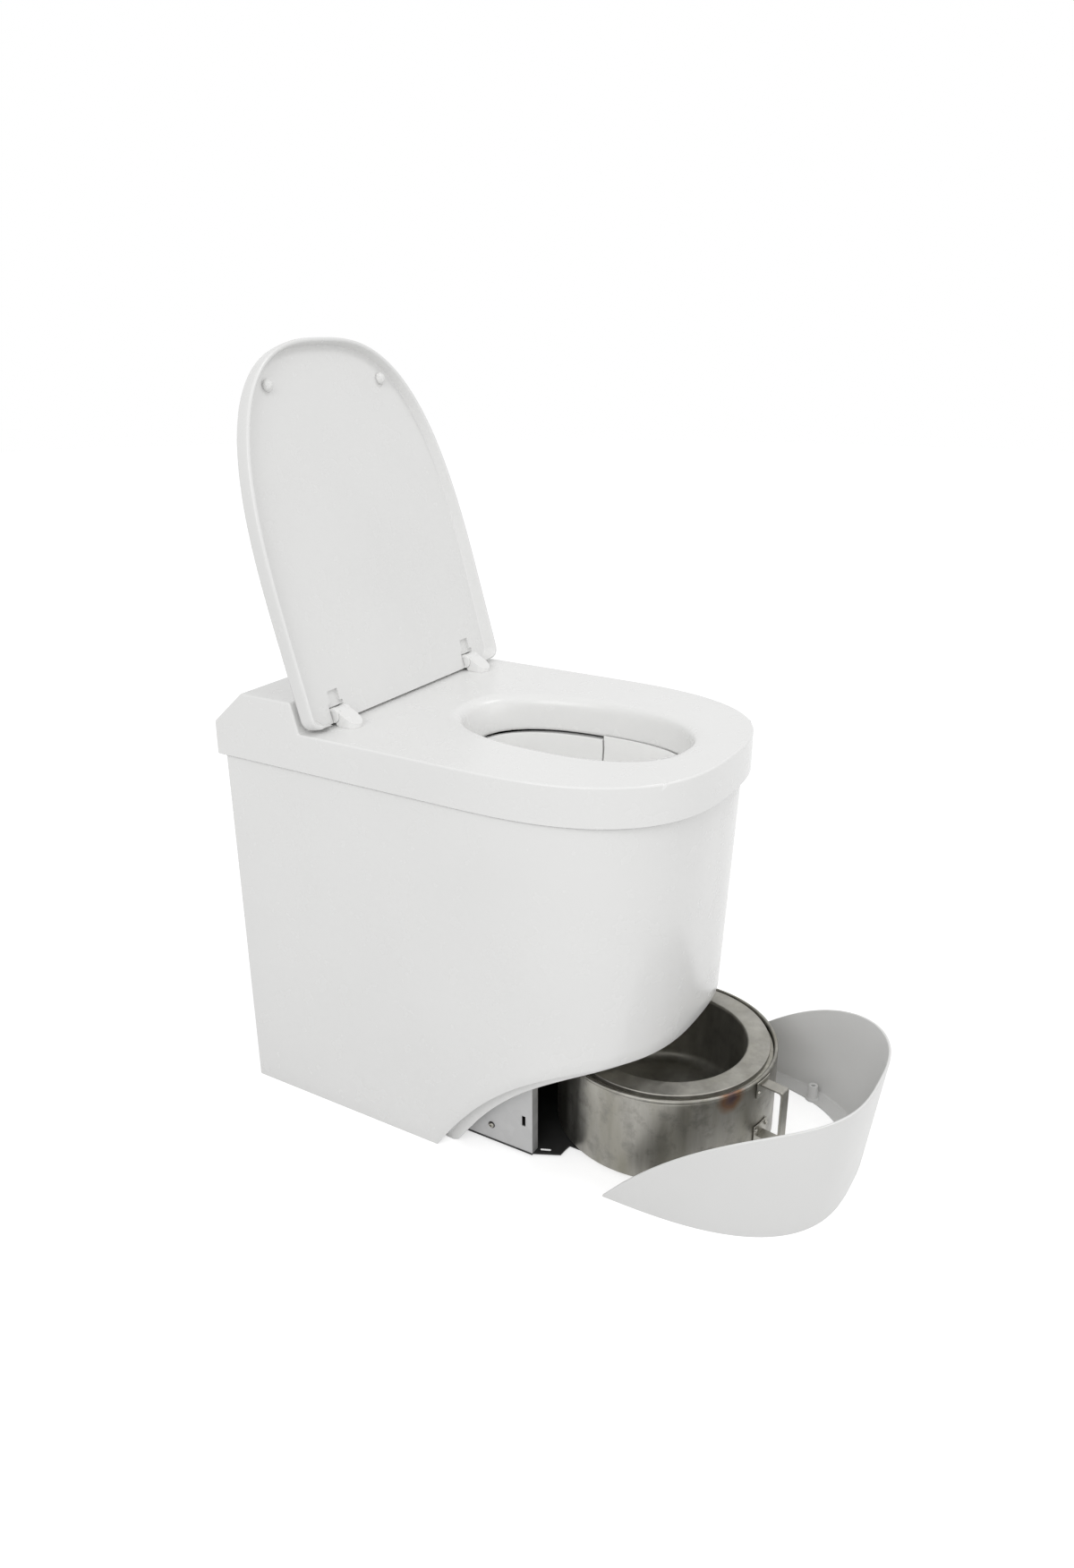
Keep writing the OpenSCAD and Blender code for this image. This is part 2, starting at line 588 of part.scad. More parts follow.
// Share of the depth and share of the width at each level of the bowl
bowl_levels = [[1, 0.16], [0.965, 0.34], [0.87, 0.53], [0.72, 0.70], [0.52, 0.84], [0.3, 0.935],
    [0.12, 0.985], [0, 1]];
bowl_angles = [0:7.5:352.5];
function bowl_point(a, s, z, d) = let (c = cos(a), n = -sin(a),
    ry = (n > 0 ? bowl_rear : bowl_front), rx = bowl_hw, p = bowl_power,
    r = 1 / pow(pow(abs(c) / rx, p) + pow(abs(n) / ry, p), 1 / p) * s - d)
    [r * c, r * n - bowl_centre, z];
module whole_bowl(top) {
    deep = bowl_h - bowl_wall;
    skin(concat(
        [for (q = bowl_levels) [for (a = bowl_angles) bowl_point(a, q[1], top - bowl_h * q[0], 0)]],
        [for (i = [len(bowl_levels) - 1:-1:0]) let (q = bowl_levels[i])
            [for (a = bowl_angles) bowl_point(a, q[1], top - deep * q[0], bowl_wall)]]));
}
module bowl_half(front, top) {
    side = front ? -1 : 1;
    pivot = front ? pivot_front : pivot_rear;
    reach = ear_share * (front ? bowl_front : bowl_rear);
    wall = side * reach * pow(1 - pow(ear_hw / bowl_hw, bowl_power), 1 / bowl_power) - bowl_centre;
    difference() {
        union() {
            intersection() {
                whole_bowl(top);
                translate([-200, front ? -400 - bowl_centre : -bowl_centre + bowl_split / 2, 200])
                    cube([400, 400 - (front ? bowl_split / 2 : 0), 400]);
            }
            for (x = [-ear_hw, ear_hw - 8]) {
                x_rod(x, pivot, pivot_z, ear_r, 8);
                translate([x, min(pivot, wall - side * 1.2), pivot_z - ear_r])
                    cube([8, abs(pivot - wall) + 1.2, ear_r - 1]);
            }
        }
        x_rod(-ear_hw - 5, pivot, pivot_z, pin_r + pin_gap, 2 * ear_hw + 10);
    }
}
module bowl_half_front() color(white) bowl_half(true, rim_z);
module bowl_half_rear() color(white) bowl_half(false, rim_z - bowl_drop);

// Right halves of the frame's outline and of its opening
frame_front = bowl_centre + bowl_front + 38.6;
frame_hw = chassis_hw + 22;
opening_hw = bowl_hw + 12;
frame_bend = frame_front - 46;
frame_half = [[chassis_hw, 120], [frame_hw, 60], [frame_hw, -70], [150, -160], [110, -frame_bend],
    [60, 6 - frame_front], [40, -frame_front]];
opening_half = [[50, 78], [opening_hw - 20, 60], [opening_hw, 20], [opening_hw, -160],
    [opening_hw - 24, 7 - frame_bend], [50, 16 - frame_front]];
module bowl_frame() color(grey) difference() {
    union() {
        translate([0, 0, frame_h]) linear_extrude(2) polygon(both_halves(frame_half));
        for (x = [-lug_in - lug_w, lug_in]) {
            translate([x, pivot_rear - 7, frame_h]) cube([lug_w, 30, pivot_z - frame_h + 6]);
            translate([x, pivot_front - 17, frame_h]) cube([lug_w, 24, pivot_z - frame_h + 6]);
        }
    }
    translate([0, 0, frame_h - 1]) linear_extrude(4) polygon(both_halves(opening_half));
    for (y = [pivot_rear, pivot_front]) x_rod(-60, y, pivot_z, pin_r + 0.02, 120);
    for (x = [-post_x, post_x], y = [post_rear, post_front]) z_rod(x, y, frame_h - 5, 2.5, 15);
}
module bowl_pins() color(steel)
    for (y = [pivot_rear, pivot_front]) x_rod(-lug_in - lug_w - 4, y, pivot_z, pin_r, 2 * (lug_in + lug_w + 4));

post_x = 148;
post_rear = 90;
post_front = -60;
module seat_posts() color(dark)
    for (x = [-post_x, post_x], y = [post_rear, post_front]) {
        z_rod(x, y, frame_top, 7, top_z - top_wall - 1.5 - frame_top);
        z_rod(x, y, frame_h, 2.4, 3);
    }
module bowl_motor() color(dark) {
    translate([lug_in + lug_w + 6, pivot_rear + 3, frame_h - 46]) cube([54, 34, 46]);
    x_rod(lug_in + lug_w + 60, pivot_rear + 20, frame_h - 23, 16, 22);
}

// Exhaust line, from the chamber to the outlet
elbow_r = 45;
canister_y = duct_y + elbow_r;
canister_z = duct_z + elbow_r;
bend_z = fan_h - elbow_r;
fan_y = canister_y + elbow_r;
fan_len = 50;
fan_r = fan_d / 2;
fan_wall = 3;
motor_r = 21;
spigot_r = spigot_d / 2;
bulkhead_y = fan_y + fan_len;
module pipe_bend(y, z, spin) {
    translate([0, y, z]) rotate([spin, 0, 0]) rotate([0, 90, 0]) rotate_extrude(angle = 90, $fn = fine)
        translate([elbow_r, 0]) difference() {
            circle(r = duct_r, $fn = 48);
            circle(r = duct_r - chassis_t, $fn = 48);
        }
}
module exhaust_duct() color(steel) {
    start = home_y + hood_r - 6;
    difference() {
        y_rod(0, start, duct_z, duct_r, duct_y - start, fine);
        y_rod(0, start - 1, duct_z, duct_r - chassis_t, duct_y - start + 2, fine);
    }
    pipe_bend(duct_y, canister_z, 0);
}
module catalyst_canister() color(steel) translate([0, canister_y, canister_z]) {
    tall = bend_z - canister_z;
    taper = (catalyst_d / 2 - duct_r) * 0.6;
    difference() {
        rotate_extrude($fn = fine) polygon([[0, 0], [duct_r + 2, 0], [catalyst_d / 2, taper],
            [catalyst_d / 2, tall - taper], [duct_r + 2, tall], [0, tall]]);
        z_rod(0, 0, -1, duct_r - chassis_t, taper + 1, fine);
        z_rod(0, 0, tall - taper, duct_r - chassis_t, taper + 1, fine);
    }
}
module exhaust_bend() color(steel) pipe_bend(fan_y, bend_z, 180);
module fan_housing() color(grey) {
    difference() {
        y_rod(0, fan_y, fan_h, fan_r, fan_len, fine);
        y_rod(0, fan_y + fan_wall, fan_h, fan_r - fan_wall, fan_len, fine);
        y_rod(0, fan_y - 1, fan_h, duct_r - chassis_t, 10, fine);
    }
    for (a = [90, 210, 330]) translate([0, fan_y + 38, fan_h]) rotate([0, a, 0])
        translate([motor_r, 0, -2]) cube([fan_r - motor_r - fan_wall + bite, 6, 4]);
}
module fan_motor() color(dark) {
    y_rod(0, fan_y + 34, fan_h, motor_r, 15);
    y_rod(0, fan_y + 14, fan_h, 2.5, 21);
}
module fan_wheel() color(dark) translate([0, fan_y + 12, fan_h]) {
    difference() {
        rotate([-90, 0, 0]) union() {
            cylinder(r = 14, h = 18, $fn = 48);
            for (i = [0:blade_count - 1]) rotate([0, 0, i * 360 / blade_count])
                translate([12, 0, 9]) rotate([35, 0, 0]) translate([0, -1, -9])
                    cube([fan_r - fan_wall - 18, 2, 16]);
        }
        y_rod(0, -3, 0, 2.5 + pin_gap, 40);
    }
}
module rear_bulkhead() color(grey) difference() {
    translate([-pan_hw, bulkhead_y, fan_h - 78]) cube([2 * pan_hw, chassis_t, 150]);
    y_rod(0, bulkhead_y - 2, fan_h, spigot_r - 3, 10, fine);
}
module exhaust_spigot() color(steel) {
    start = bulkhead_y + chassis_t;
    bead = shell_rear(fan_h) + chassis_t + 3;
    tail = bead + 3 + spigot_len;
    difference() {
        union() {
            y_rod(0, start, fan_h, spigot_r, tail - start, fine);
            y_rod(0, start, fan_h, spigot_r + 6, 3, fine);
            y_rod(0, bead, fan_h, spigot_r + 1.5, 3, fine);
        }
        y_rod(0, start - 1, fan_h, spigot_r - chassis_t, tail - start + 2, fine);
    }
}

// Control box under the deck of the rear housing
box_hw = 78;
box_front = deck_y - 26;
box_deep = 52;
box_z = deck_z - 30;
module control_box() color(dark) difference() {
    translate([-box_hw, box_front, box_z]) cube([2 * box_hw, box_deep, deck_z - box_z]);
    translate([2 - box_hw, box_front + 2, box_z + 2]) cube([2 * box_hw - 4, box_deep - 4, deck_z - box_z]);
}
module control_board() color([0.1, 0.35, 0.18]) {
    translate([3 - box_hw, box_front + 3, box_z + 6]) cube([2 * box_hw - 6, box_deep - 6, 1.6]);
    for (x = [8 - box_hw, box_hw - 8], y = [box_front + 8, box_front + box_deep - 8])
        z_rod(x, y, box_z + 2, 3, 4 + bite);
    z_rod(button_x, deck_y, box_z + 7, 6, 10);
    for (x = lamp_xs) z_rod(x, deck_y, box_z + 7, lamp_d / 2, 6);
    translate([-box_hw + 12, box_front + 8, box_z + 7]) cube([18, 30, 14]);
}
module control_fascia() color([0.75, 0.76, 0.77]) difference() {
    translate([0, 0, housing_z]) linear_extrude(1.2) polygon([[-62, deck_y - 16], [74, deck_y - 16],
        [80, deck_y - 10], [80, deck_y + 10], [74, deck_y + 16], [-62, deck_y + 16],
        [-68, deck_y + 10], [-68, deck_y - 10]]);
    z_rod(button_x, deck_y, housing_z - 2, button_d / 2 + 0.6, 6);
    for (x = lamp_xs) z_rod(x, deck_y, housing_z - 2, lamp_d / 2 + 0.4, 6);
}
module status_lamps() color([0.2, 0.75, 0.35])
    for (x = lamp_xs) {
        z_rod(x, deck_y, box_z + 13, lamp_d / 2, housing_z + 1.6 - box_z - 13);
    }
module start_button() color([0.85, 0.86, 0.87]) {
    z_rod(button_x, deck_y, box_z + 17 + button_travel + gap, 3.5, housing_z - box_z - 17 - button_travel);
    translate([button_x, deck_y, deck_z - 1]) rotate_extrude($fn = 48)
        polygon([[0, 0], [button_d / 2, 0], [button_d / 2, 8.4], [button_d / 2 - 1, 9.4], [0, 8.6]]);
}
module power_inlet() color(dark) at_back() difference() {
    union() {
        translate([inlet_x - 14, -16, inlet_z - 12]) cube([28, 18, 24]);
        translate([inlet_x - 17, chassis_t, inlet_z - 15]) cube([34, 2.5, 30]);
    }
    translate([inlet_x - 11, -12, inlet_z - 8.5]) cube([22, 30, 17]);
}

// Lid, drawn closed round its hinge axis and then swung open
open_turn = 90 + lid_lean;
lid_hinge_z = top_z + lid_hinge_rise;
lid_top = lid_hinge_rise + 0.5;
lid_rim = lid_top - lid_depth;
lid_tail = 8.5;
lid_hw = top_w / 2 - lid_in;
lid_len = lid_hinge_y + lid_tail + top_nose - lid_nose_in;
lid_bend = lid_tail - lid_len / 4;
lid_power = 2.77;
lid_ys = [-14, -30, -60, -90];
lid_shares = [-0.9, -0.87, -0.45, 0, 0.45, 0.87, 0.9];
lid_places = full_stations(lid_ys, 5, lid_shares);
module lid_open() translate([0, lid_hinge_y, lid_hinge_z]) rotate([-open_turn, 0, 0]) children();
function lid_point(st, z, d) = let (p = plan_point(st, lid_hw - d, lid_bend, lid_tail - lid_len + d,
    lid_power, lid_tail - (st[0] == 3 ? d * 0.15 : d), max(15 - d, 3))) [p[0], p[1], z];
// The rim stands down all round but for the hinge edge, where it stops short of the hinges
function rim_at(st, z) = st[0] == 3
    ? (abs(st[1]) < 0.88 ? lid_top - lid_wall - 0.4 : min(z + 4, lid_top - lid_wall - 1)) : z;
module lid() color(white) lid_open() difference() {
    panel = lid_top - lid_wall;
    skin([[for (st = lid_places) lid_point(st, panel, 14)],
          [for (st = lid_places) lid_point(st, rim_at(st, panel - 1), 12)],
          [for (st = lid_places) lid_point(st, rim_at(st, lid_rim + 1), 5.5)],
          [for (st = lid_places) lid_point(st, rim_at(st, lid_rim), 3.5)],
          [for (st = lid_places) lid_point(st, rim_at(st, lid_rim), 1.8)],
          [for (st = lid_places) lid_point(st, rim_at(st, lid_rim + 1.8), 0)],
          [for (st = lid_places) lid_point(st, lid_top - 9 + (st[0] == 3 ? 7 : 0), 0.4)],
          [for (st = lid_places) lid_point(st, lid_top - 4 + (st[0] == 3 ? 3 : 0), 1.8)],
          [for (st = lid_places) lid_point(st, lid_top - 1.2, 5.5)],
          [for (st = lid_places) lid_point(st, lid_top, 14)]], fan = true);
    for (x = [-hinge_spread / 2, hinge_spread / 2])
        translate([x - 6.5, -38, panel - 1]) cube([13, 24, 2.4]);
}
buffer_x = 98;
buffer_in = 56;
buffer_y = lid_len - buffer_in - lid_tail;
module lid_buffers() color(white) lid_open()
    for (x = [-buffer_x, buffer_x]) translate([x, -buffer_y, 0]) {
        foot = -lid_hinge_rise + gap;
        z_rod(0, 0, foot + 1.5, 8, lid_top - lid_wall - foot - 1.5);
        translate([0, 0, foot]) cylinder(r1 = 6.5, r2 = 8, h = 1.5 + 0.01, $fn = small);
    }

// Lid hinges: foot with arm and knuckle on the seat, lugs on the lid, pin through both
hinge_r = hinge_pin_d / 2;
knuckle_r = hinge_r + 5.2;
knuckle_w = 12;
lug_t = 5;
module lid_hinge_feet() color(white)
    for (x = [-hinge_spread / 2, hinge_spread / 2]) translate([x, lid_hinge_y, top_z]) difference() {
        union() {
            hull() for (y = [-22, -12]) z_rod(0, y, 0, 8.5, 7);
            hull() {
                z_rod(0, -20, 2, 6, 7.5);
                x_rod(-knuckle_w / 2, 0, lid_hinge_rise, knuckle_r, knuckle_w);
            }
        }
        x_rod(-knuckle_w, 0, lid_hinge_rise, hinge_r + pin_gap, 2 * knuckle_w);
    }
module lid_hinge_lugs() color(white) lid_open()
    for (x = [-hinge_spread / 2, hinge_spread / 2], s = [-1, 1])
        translate([x + s * (knuckle_w / 2 + gap + lug_t / 2) - lug_t / 2, 0, 0]) difference() {
            union() {
                x_rod(0, 0, 0, knuckle_r, lug_t);
                translate([0, -knuckle_r, 0]) cube([lug_t, knuckle_r + 4, lid_top - lid_wall]);
            }
            x_rod(-1, 0, 0, hinge_r + 0.02, lug_t + 2);
        }
module lid_hinge_pins() color(steel) lid_open()
    for (x = [-hinge_spread / 2, hinge_spread / 2])
        x_rod(x - knuckle_w / 2 - gap - lug_t, 0, 0, hinge_r, knuckle_w + 2 * (gap + lug_t));

// Ash container, drawn out in front of the body
drum_r = drum_d / 2;
pot_r = pot_d / 2;
module at_container() translate([0, home_y - container_out, 0]) children();
module ash_drum() color(steel) at_container() translate([0, 0, drum_z]) rotate_extrude($fn = fine)
    polygon(concat([[0, 0], [drum_r - 5, 0]],
        [for (t = [-60:30:0]) [drum_r - 4 + 4 * cos(t), 4 + 4 * sin(t)]],
        [[drum_r, drum_h - 3]],
        [for (t = [30:30:150]) [drum_r - 2.5 + 2.5 * cos(t), drum_h - 2.5 + 2.5 * sin(t)]],
        [[drum_r - 5, drum_h - 4], [drum_r - 5 + drum_wall, drum_h - 4],
         [drum_r - drum_wall, drum_h - 6], [drum_r - drum_wall, 6], [drum_r - 6, drum_wall], [0, drum_wall]]));
pot_floor = flange_z - pot_depth;
pot_wall = 1.5;
module ash_pot() color(steel) at_container() rotate_extrude($fn = fine)
    polygon(concat([[0, pot_floor - pot_wall]],
        [for (t = [-90:22.5:0]) [pot_r - 12 + (12 + pot_wall) * cos(t), pot_floor + 12 + (12 + pot_wall) * sin(t)]],
        [[pot_r + pot_wall, flange_z - 2], [flange_d / 2 - 1.5, flange_z - 2], [flange_d / 2 - 1.5, flange_z - 6],
         [flange_d / 2, flange_z - 6], [flange_d / 2, flange_z - 0.8], [flange_d / 2 - 0.8, flange_z],
         [pot_r + 2, flange_z], [pot_r, flange_z - 2]],
        [for (t = [0:-22.5:-90]) [pot_r - 12 + 12 * cos(t), pot_floor + 12 + 12 * sin(t)]],
        [[0, pot_floor]]));
module pot_insulation() color([0.88, 0.86, 0.80]) at_container() {
    base = drum_z + drum_wall + gap;
    difference() {
        rotate_extrude($fn = fine) polygon([[0, base], [drum_r - 8, base], [drum_r - 5.6, base + 6],
            [drum_r - 5.6, flange_z - 8], [flange_d / 2 - 3, flange_z - 8], [flange_d / 2 - 3, flange_z - 2 - gap],
            [pot_r + 4, flange_z - 2 - gap], [pot_r + 2.4, pot_floor - pot_wall - gap],
            [0, pot_floor - pot_wall - gap]]);
    }
}
handle_top = drum_top - 6;
module at_handle() at_container() rotate([0, 0, -handle_turn]) children();
module drum_handle() color(steel) at_handle() {
    pad_t = 1.6;
    front = -drum_r - gap;
    rotate([0, 0, -90 - 6]) translate([0, 0, handle_top - handle_h - 8]) rotate_extrude(angle = 12, $fn = fine)
        translate([drum_r + gap, 0]) square([pad_t, handle_h + 12]);
    translate([-handle_w / 2, 0, handle_top - handle_h]) rotate([90, 0, 90]) linear_extrude(handle_w) difference() {
        polygon([[front - 1, 0], [front - 1, handle_h], [front - 4, handle_h],
            [front - handle_reach + 2, handle_h], [front - handle_reach, handle_h - 2],
            [front - handle_reach, 2], [front - handle_reach + 2, 0]]);
        polygon([[front + 1, handle_t], [front + 1, handle_h - handle_t],
            [front - handle_reach + handle_t, handle_h - handle_t], [front - handle_reach + handle_t, handle_t]]);
    }
}
module handle_rivets() color(steel) at_handle()
    for (x = [-11, 11], z = [handle_top - 10, handle_top - handle_h + 10])
        translate([x, -sqrt(pow(drum_r + gap + 1.6, 2) - x * x) - 0.2, z])
            rotate([90, 0, x * 0.42]) cylinder(r1 = 3, r2 = 2, h = 2, $fn = small);

// Front cover, drawn in its place on the body and moved out
cover_hw = cover_w / 2;
cover_power = 2.83;
cover_tip = cut_tip + 3;
cover_bend = -cover_tip - 2;
cover_climb = 1.95;
cover_h = cut_h - cover_below;
function cover_nose(z) = shell_nose(0) - cover_rake * z / cover_h;
function cover_point(st, z, d) = let (p = plan_point(st, cover_hw - d, cover_bend, cover_nose(z) + d,
    cover_power, 0, 1)) [p[0], p[1], z];
function cover_top(st) = max(1.6, climb(cover_point(st, cover_h / 2, 0)[1], -cover_tip, cover_nose(cover_h / 2),
    cover_h, cover_climb));
cover_places = front_stations([-cover_tip], 4);
post_at = [133, 161];
module cover_home() translate([-cover_aside, -cover_out, 0]) children();
module front_cover() color(white) cover_home() difference() {
    union() {
        skin([for (st = cover_places) let (h = cover_top(st))
            [cover_point(st, h - 0.6, 0), cover_point(st, 0, 0),
             cover_point(st, 0, cover_wall), cover_point(st, h - 0.6, cover_wall),
             cover_point(st, h, cover_wall - 0.8), cover_point(st, h, 0.8)]]);
        skin([for (st = front_stations([], 5)) let (
            w = cover_wall + (foot_ring_w - cover_wall) * min(1, max(0.1, (cover_bend + 6 - cover_point(st, 0, 0)[1]) / 60)))
            [cover_point(st, foot_ring_t, 1.5), cover_point(st, 0, 1.5),
             cover_point(st, 0, w + 1), cover_point(st, foot_ring_t, w + 1)]]);
        for (x = [-post_at[0], post_at[0]]) z_rod(x, -post_at[1], 0.5, post_d / 2, post_h);
    }
    for (x = [-post_at[0], post_at[0]]) z_rod(x, -post_at[1], -1, post_bore / 2, post_h + 5);
}

outer_shell();
seat_top();
rear_panel();
chassis_side_left();
chassis_side_right();
chassis_screws();
base_pan();
floor_board();
container_runners();
cross_shelf();
chamber_base();
chamber_hood();
chamber_roof();
chamber_insulation();
chamber_seal();
heating_element();
temperature_probe();
bag_chute();
bowl_frame();
bowl_pins();
seat_posts();
bowl_motor();
bowl_half_front();
bowl_half_rear();
exhaust_duct();
catalyst_canister();
exhaust_bend();
fan_housing();
fan_motor();
fan_wheel();
rear_bulkhead();
exhaust_spigot();
control_box();
control_board();
control_fascia();
status_lamps();
start_button();
power_inlet();
panel_screws();
lid();
lid_buffers();
lid_hinge_feet();
lid_hinge_lugs();
lid_hinge_pins();
ash_drum();
ash_pot();
pot_insulation();
drum_handle();
handle_rivets();
front_cover();
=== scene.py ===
"""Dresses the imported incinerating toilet: smooth mouldings, brushed steel and a plain studio."""

import json
from math import atan2, copysign, cos, pi, radians, sin

import bmesh
import bpy
from bpy.props import FloatProperty, FloatVectorProperty, PointerProperty
from mathutils import Matrix, Vector


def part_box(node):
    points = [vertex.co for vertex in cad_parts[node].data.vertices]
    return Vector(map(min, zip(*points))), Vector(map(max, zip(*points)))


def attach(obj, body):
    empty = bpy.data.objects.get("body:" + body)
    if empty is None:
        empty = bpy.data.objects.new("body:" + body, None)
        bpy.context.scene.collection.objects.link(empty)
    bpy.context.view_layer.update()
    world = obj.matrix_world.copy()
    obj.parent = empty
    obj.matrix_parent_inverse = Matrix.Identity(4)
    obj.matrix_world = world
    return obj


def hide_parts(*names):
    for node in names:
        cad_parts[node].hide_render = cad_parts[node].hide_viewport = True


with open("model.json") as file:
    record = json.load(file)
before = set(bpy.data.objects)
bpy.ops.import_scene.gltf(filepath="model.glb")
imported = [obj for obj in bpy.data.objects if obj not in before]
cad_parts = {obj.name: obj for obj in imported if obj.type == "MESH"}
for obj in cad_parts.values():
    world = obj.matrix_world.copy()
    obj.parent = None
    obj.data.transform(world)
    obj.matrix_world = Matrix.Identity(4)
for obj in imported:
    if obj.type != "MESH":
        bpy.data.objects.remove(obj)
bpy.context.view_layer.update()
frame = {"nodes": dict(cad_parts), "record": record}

bl_info = {
    "name": "Incinerating Toilet",
    "version": (1, 0, 0),
    "blender": (4, 5, 0),
    "location": "3D View > Sidebar > Toilet",
    "description": "Builds the mouldings, the steel parts and the studio of an incinerating toilet",
    "category": "Object",
}

SEAT_LOW, SEAT_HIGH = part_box("seat_top")


# Settings

def length(name, text, value):
    return FloatProperty(name=name, description=text, unit="LENGTH", default=value)


def colour(name, text, value):
    return FloatVectorProperty(name=name, description=text, subtype="COLOR", size=4, min=0, max=1, default=value)


class ToiletSizes(bpy.types.PropertyGroup):
    """Sizes of the visible mouldings and steel parts"""

    seat_height: length("Seat height", "Height of the seat above the floor", 0.501)
    seat_width: length("Seat width", "Overall width of the seat moulding", SEAT_HIGH.x - SEAT_LOW.x)
    seat_nose: length("Seat nose", "Reach of the seat in front of the middle of the body", -SEAT_LOW.y)
    seat_rear: length("Seat rear", "Reach of the seat behind the middle of the body", SEAT_HIGH.y)
    edge_roll: length("Edge roll", "Radius of the seat's rolled edge", 0.0075)
    housing_height: length("Housing height", "Height of the rear housing above the floor", SEAT_HIGH.z)
    shell_wall: length("Shell wall", "Thickness of the outer shell", 0.0035)
    cut_height: length("Cut height", "Height of the sweeping cut at the nose", 0.158)
    lid_turn: FloatProperty(name="Lid turn", description="How far the lid is swung open", unit="ROTATION",
                            default=radians(106.1))
    drum_radius: length("Drum radius", "Radius of the ash container's outer drum", 0.135)
    pot_radius: length("Pot radius", "Inner radius of the ash pot", 0.097)


class ToiletFinish(bpy.types.PropertyGroup):
    """Colours of the materials"""

    moulding: colour("Moulding", "White of the moulded shell, seat and lid", (0.82, 0.82, 0.812, 1))
    bowl: colour("Bowl", "White of the glazed bowl halves", (0.90, 0.90, 0.89, 1))
    steel: colour("Steel", "Grey of the brushed stainless steel", (0.36, 0.35, 0.32, 1))
    sheet: colour("Sheet", "Grey of the galvanised chassis sheet", (0.50, 0.50, 0.50, 1))
    dark: colour("Dark parts", "Black of motors and rubber", (0.012, 0.012, 0.013, 1))
    floor: colour("Floor", "White of the studio floor", (0.62, 0.62, 0.62, 1))


def sizes():
    return bpy.context.scene.toilet_sizes


def finish():
    return bpy.context.scene.toilet_finish


# Materials

class Tree:
    """A small helper that lays out the nodes of a material or of the world"""

    def __init__(self, owner):
        owner.use_nodes = True
        self.tree = owner.node_tree

    def add(self, kind, inputs=None, **settings):
        node = self.tree.nodes.new(kind)
        for key, value in settings.items():
            setattr(node, key, value)
        for key, value in (inputs or {}).items():
            self.set(node.inputs[key], value)
        return node

    def set(self, socket, value):
        if isinstance(value, bpy.types.NodeSocket):
            self.tree.links.new(value, socket)
        else:
            socket.default_value = value

    def seen(self):
        """One for camera, glossy and transmission rays, and zero for the rest"""
        rays = self.add("ShaderNodeLightPath").outputs
        value = rays["Is Camera Ray"]
        for name in ("Is Glossy Ray", "Is Transmission Ray"):
            value = self.add("ShaderNodeMath", {0: value, 1: rays[name]}, operation="MAXIMUM").outputs[0]
        return value


class Nodes(Tree):
    """The nodes of a new material"""

    def __init__(self, name):
        self.material = bpy.data.materials.new(name)
        super().__init__(self.material)
        self.shader = self.tree.nodes["Principled BSDF"]
        self.coords = self.add("ShaderNodeTexCoord").outputs["Object"]

    def shade(self, **values):
        for key, value in values.items():
            self.set(self.shader.inputs[key.replace("_", " ")], value)

    def stretched(self, scale):
        return self.add("ShaderNodeMapping", {"Vector": self.coords, "Scale": scale}).outputs[0]

    def noise(self, scale, detail=3.0, rough=0.5, vector=None):
        return self.add("ShaderNodeTexNoise", {"Vector": vector or self.coords, "Scale": scale, "Detail": detail,
                                               "Roughness": rough}).outputs["Fac"]

    def ramp(self, value, low, high, a=0.0, b=1.0):
        return self.add("ShaderNodeMapRange", {"Value": value, "From Min": low, "From Max": high, "To Min": a,
                                               "To Max": b}).outputs[0]

    def mix(self, share, a, b, kind="MIX"):
        node = self.add("ShaderNodeMix", data_type="RGBA", blend_type=kind)
        for index, value in ((0, share), (6, a), (7, b)):
            self.set(node.inputs[index], value)
        return node.outputs[2]

    def bump(self, height, strength, distance):
        normal = self.add("ShaderNodeBump", {"Height": height, "Strength": strength, "Distance": distance})
        self.set(self.shader.inputs["Normal"], normal.outputs[0])


def darker(rgba, share):
    return (rgba[0] * share, rgba[1] * share, rgba[2] * share, 1)


def moulding_material(name, rgba, roughness=0.25, ripple=0.03):
    """Moulded plastic: slow changes of tone, a soft gloss and a faint grain"""
    n = Nodes(name)
    n.shade(Base_Color=n.mix(n.ramp(n.noise(6.0), 0.35, 0.65), darker(rgba, 0.98), rgba))
    n.shade(Roughness=n.ramp(n.noise(40.0), 0.3, 0.7, roughness - 0.03, roughness + 0.04))
    n.bump(n.noise(26.0, 1.0), ripple, 0.0006)
    return n.material


# Middle and reach of the burnt spot beside the handle, and its two tints
HEAT_SPOT = ((-0.071, -0.337, 0.112), 0.021)
STRAW, BLUE = (0.20, 0.085, 0.03, 1), (0.05, 0.05, 0.09, 1)


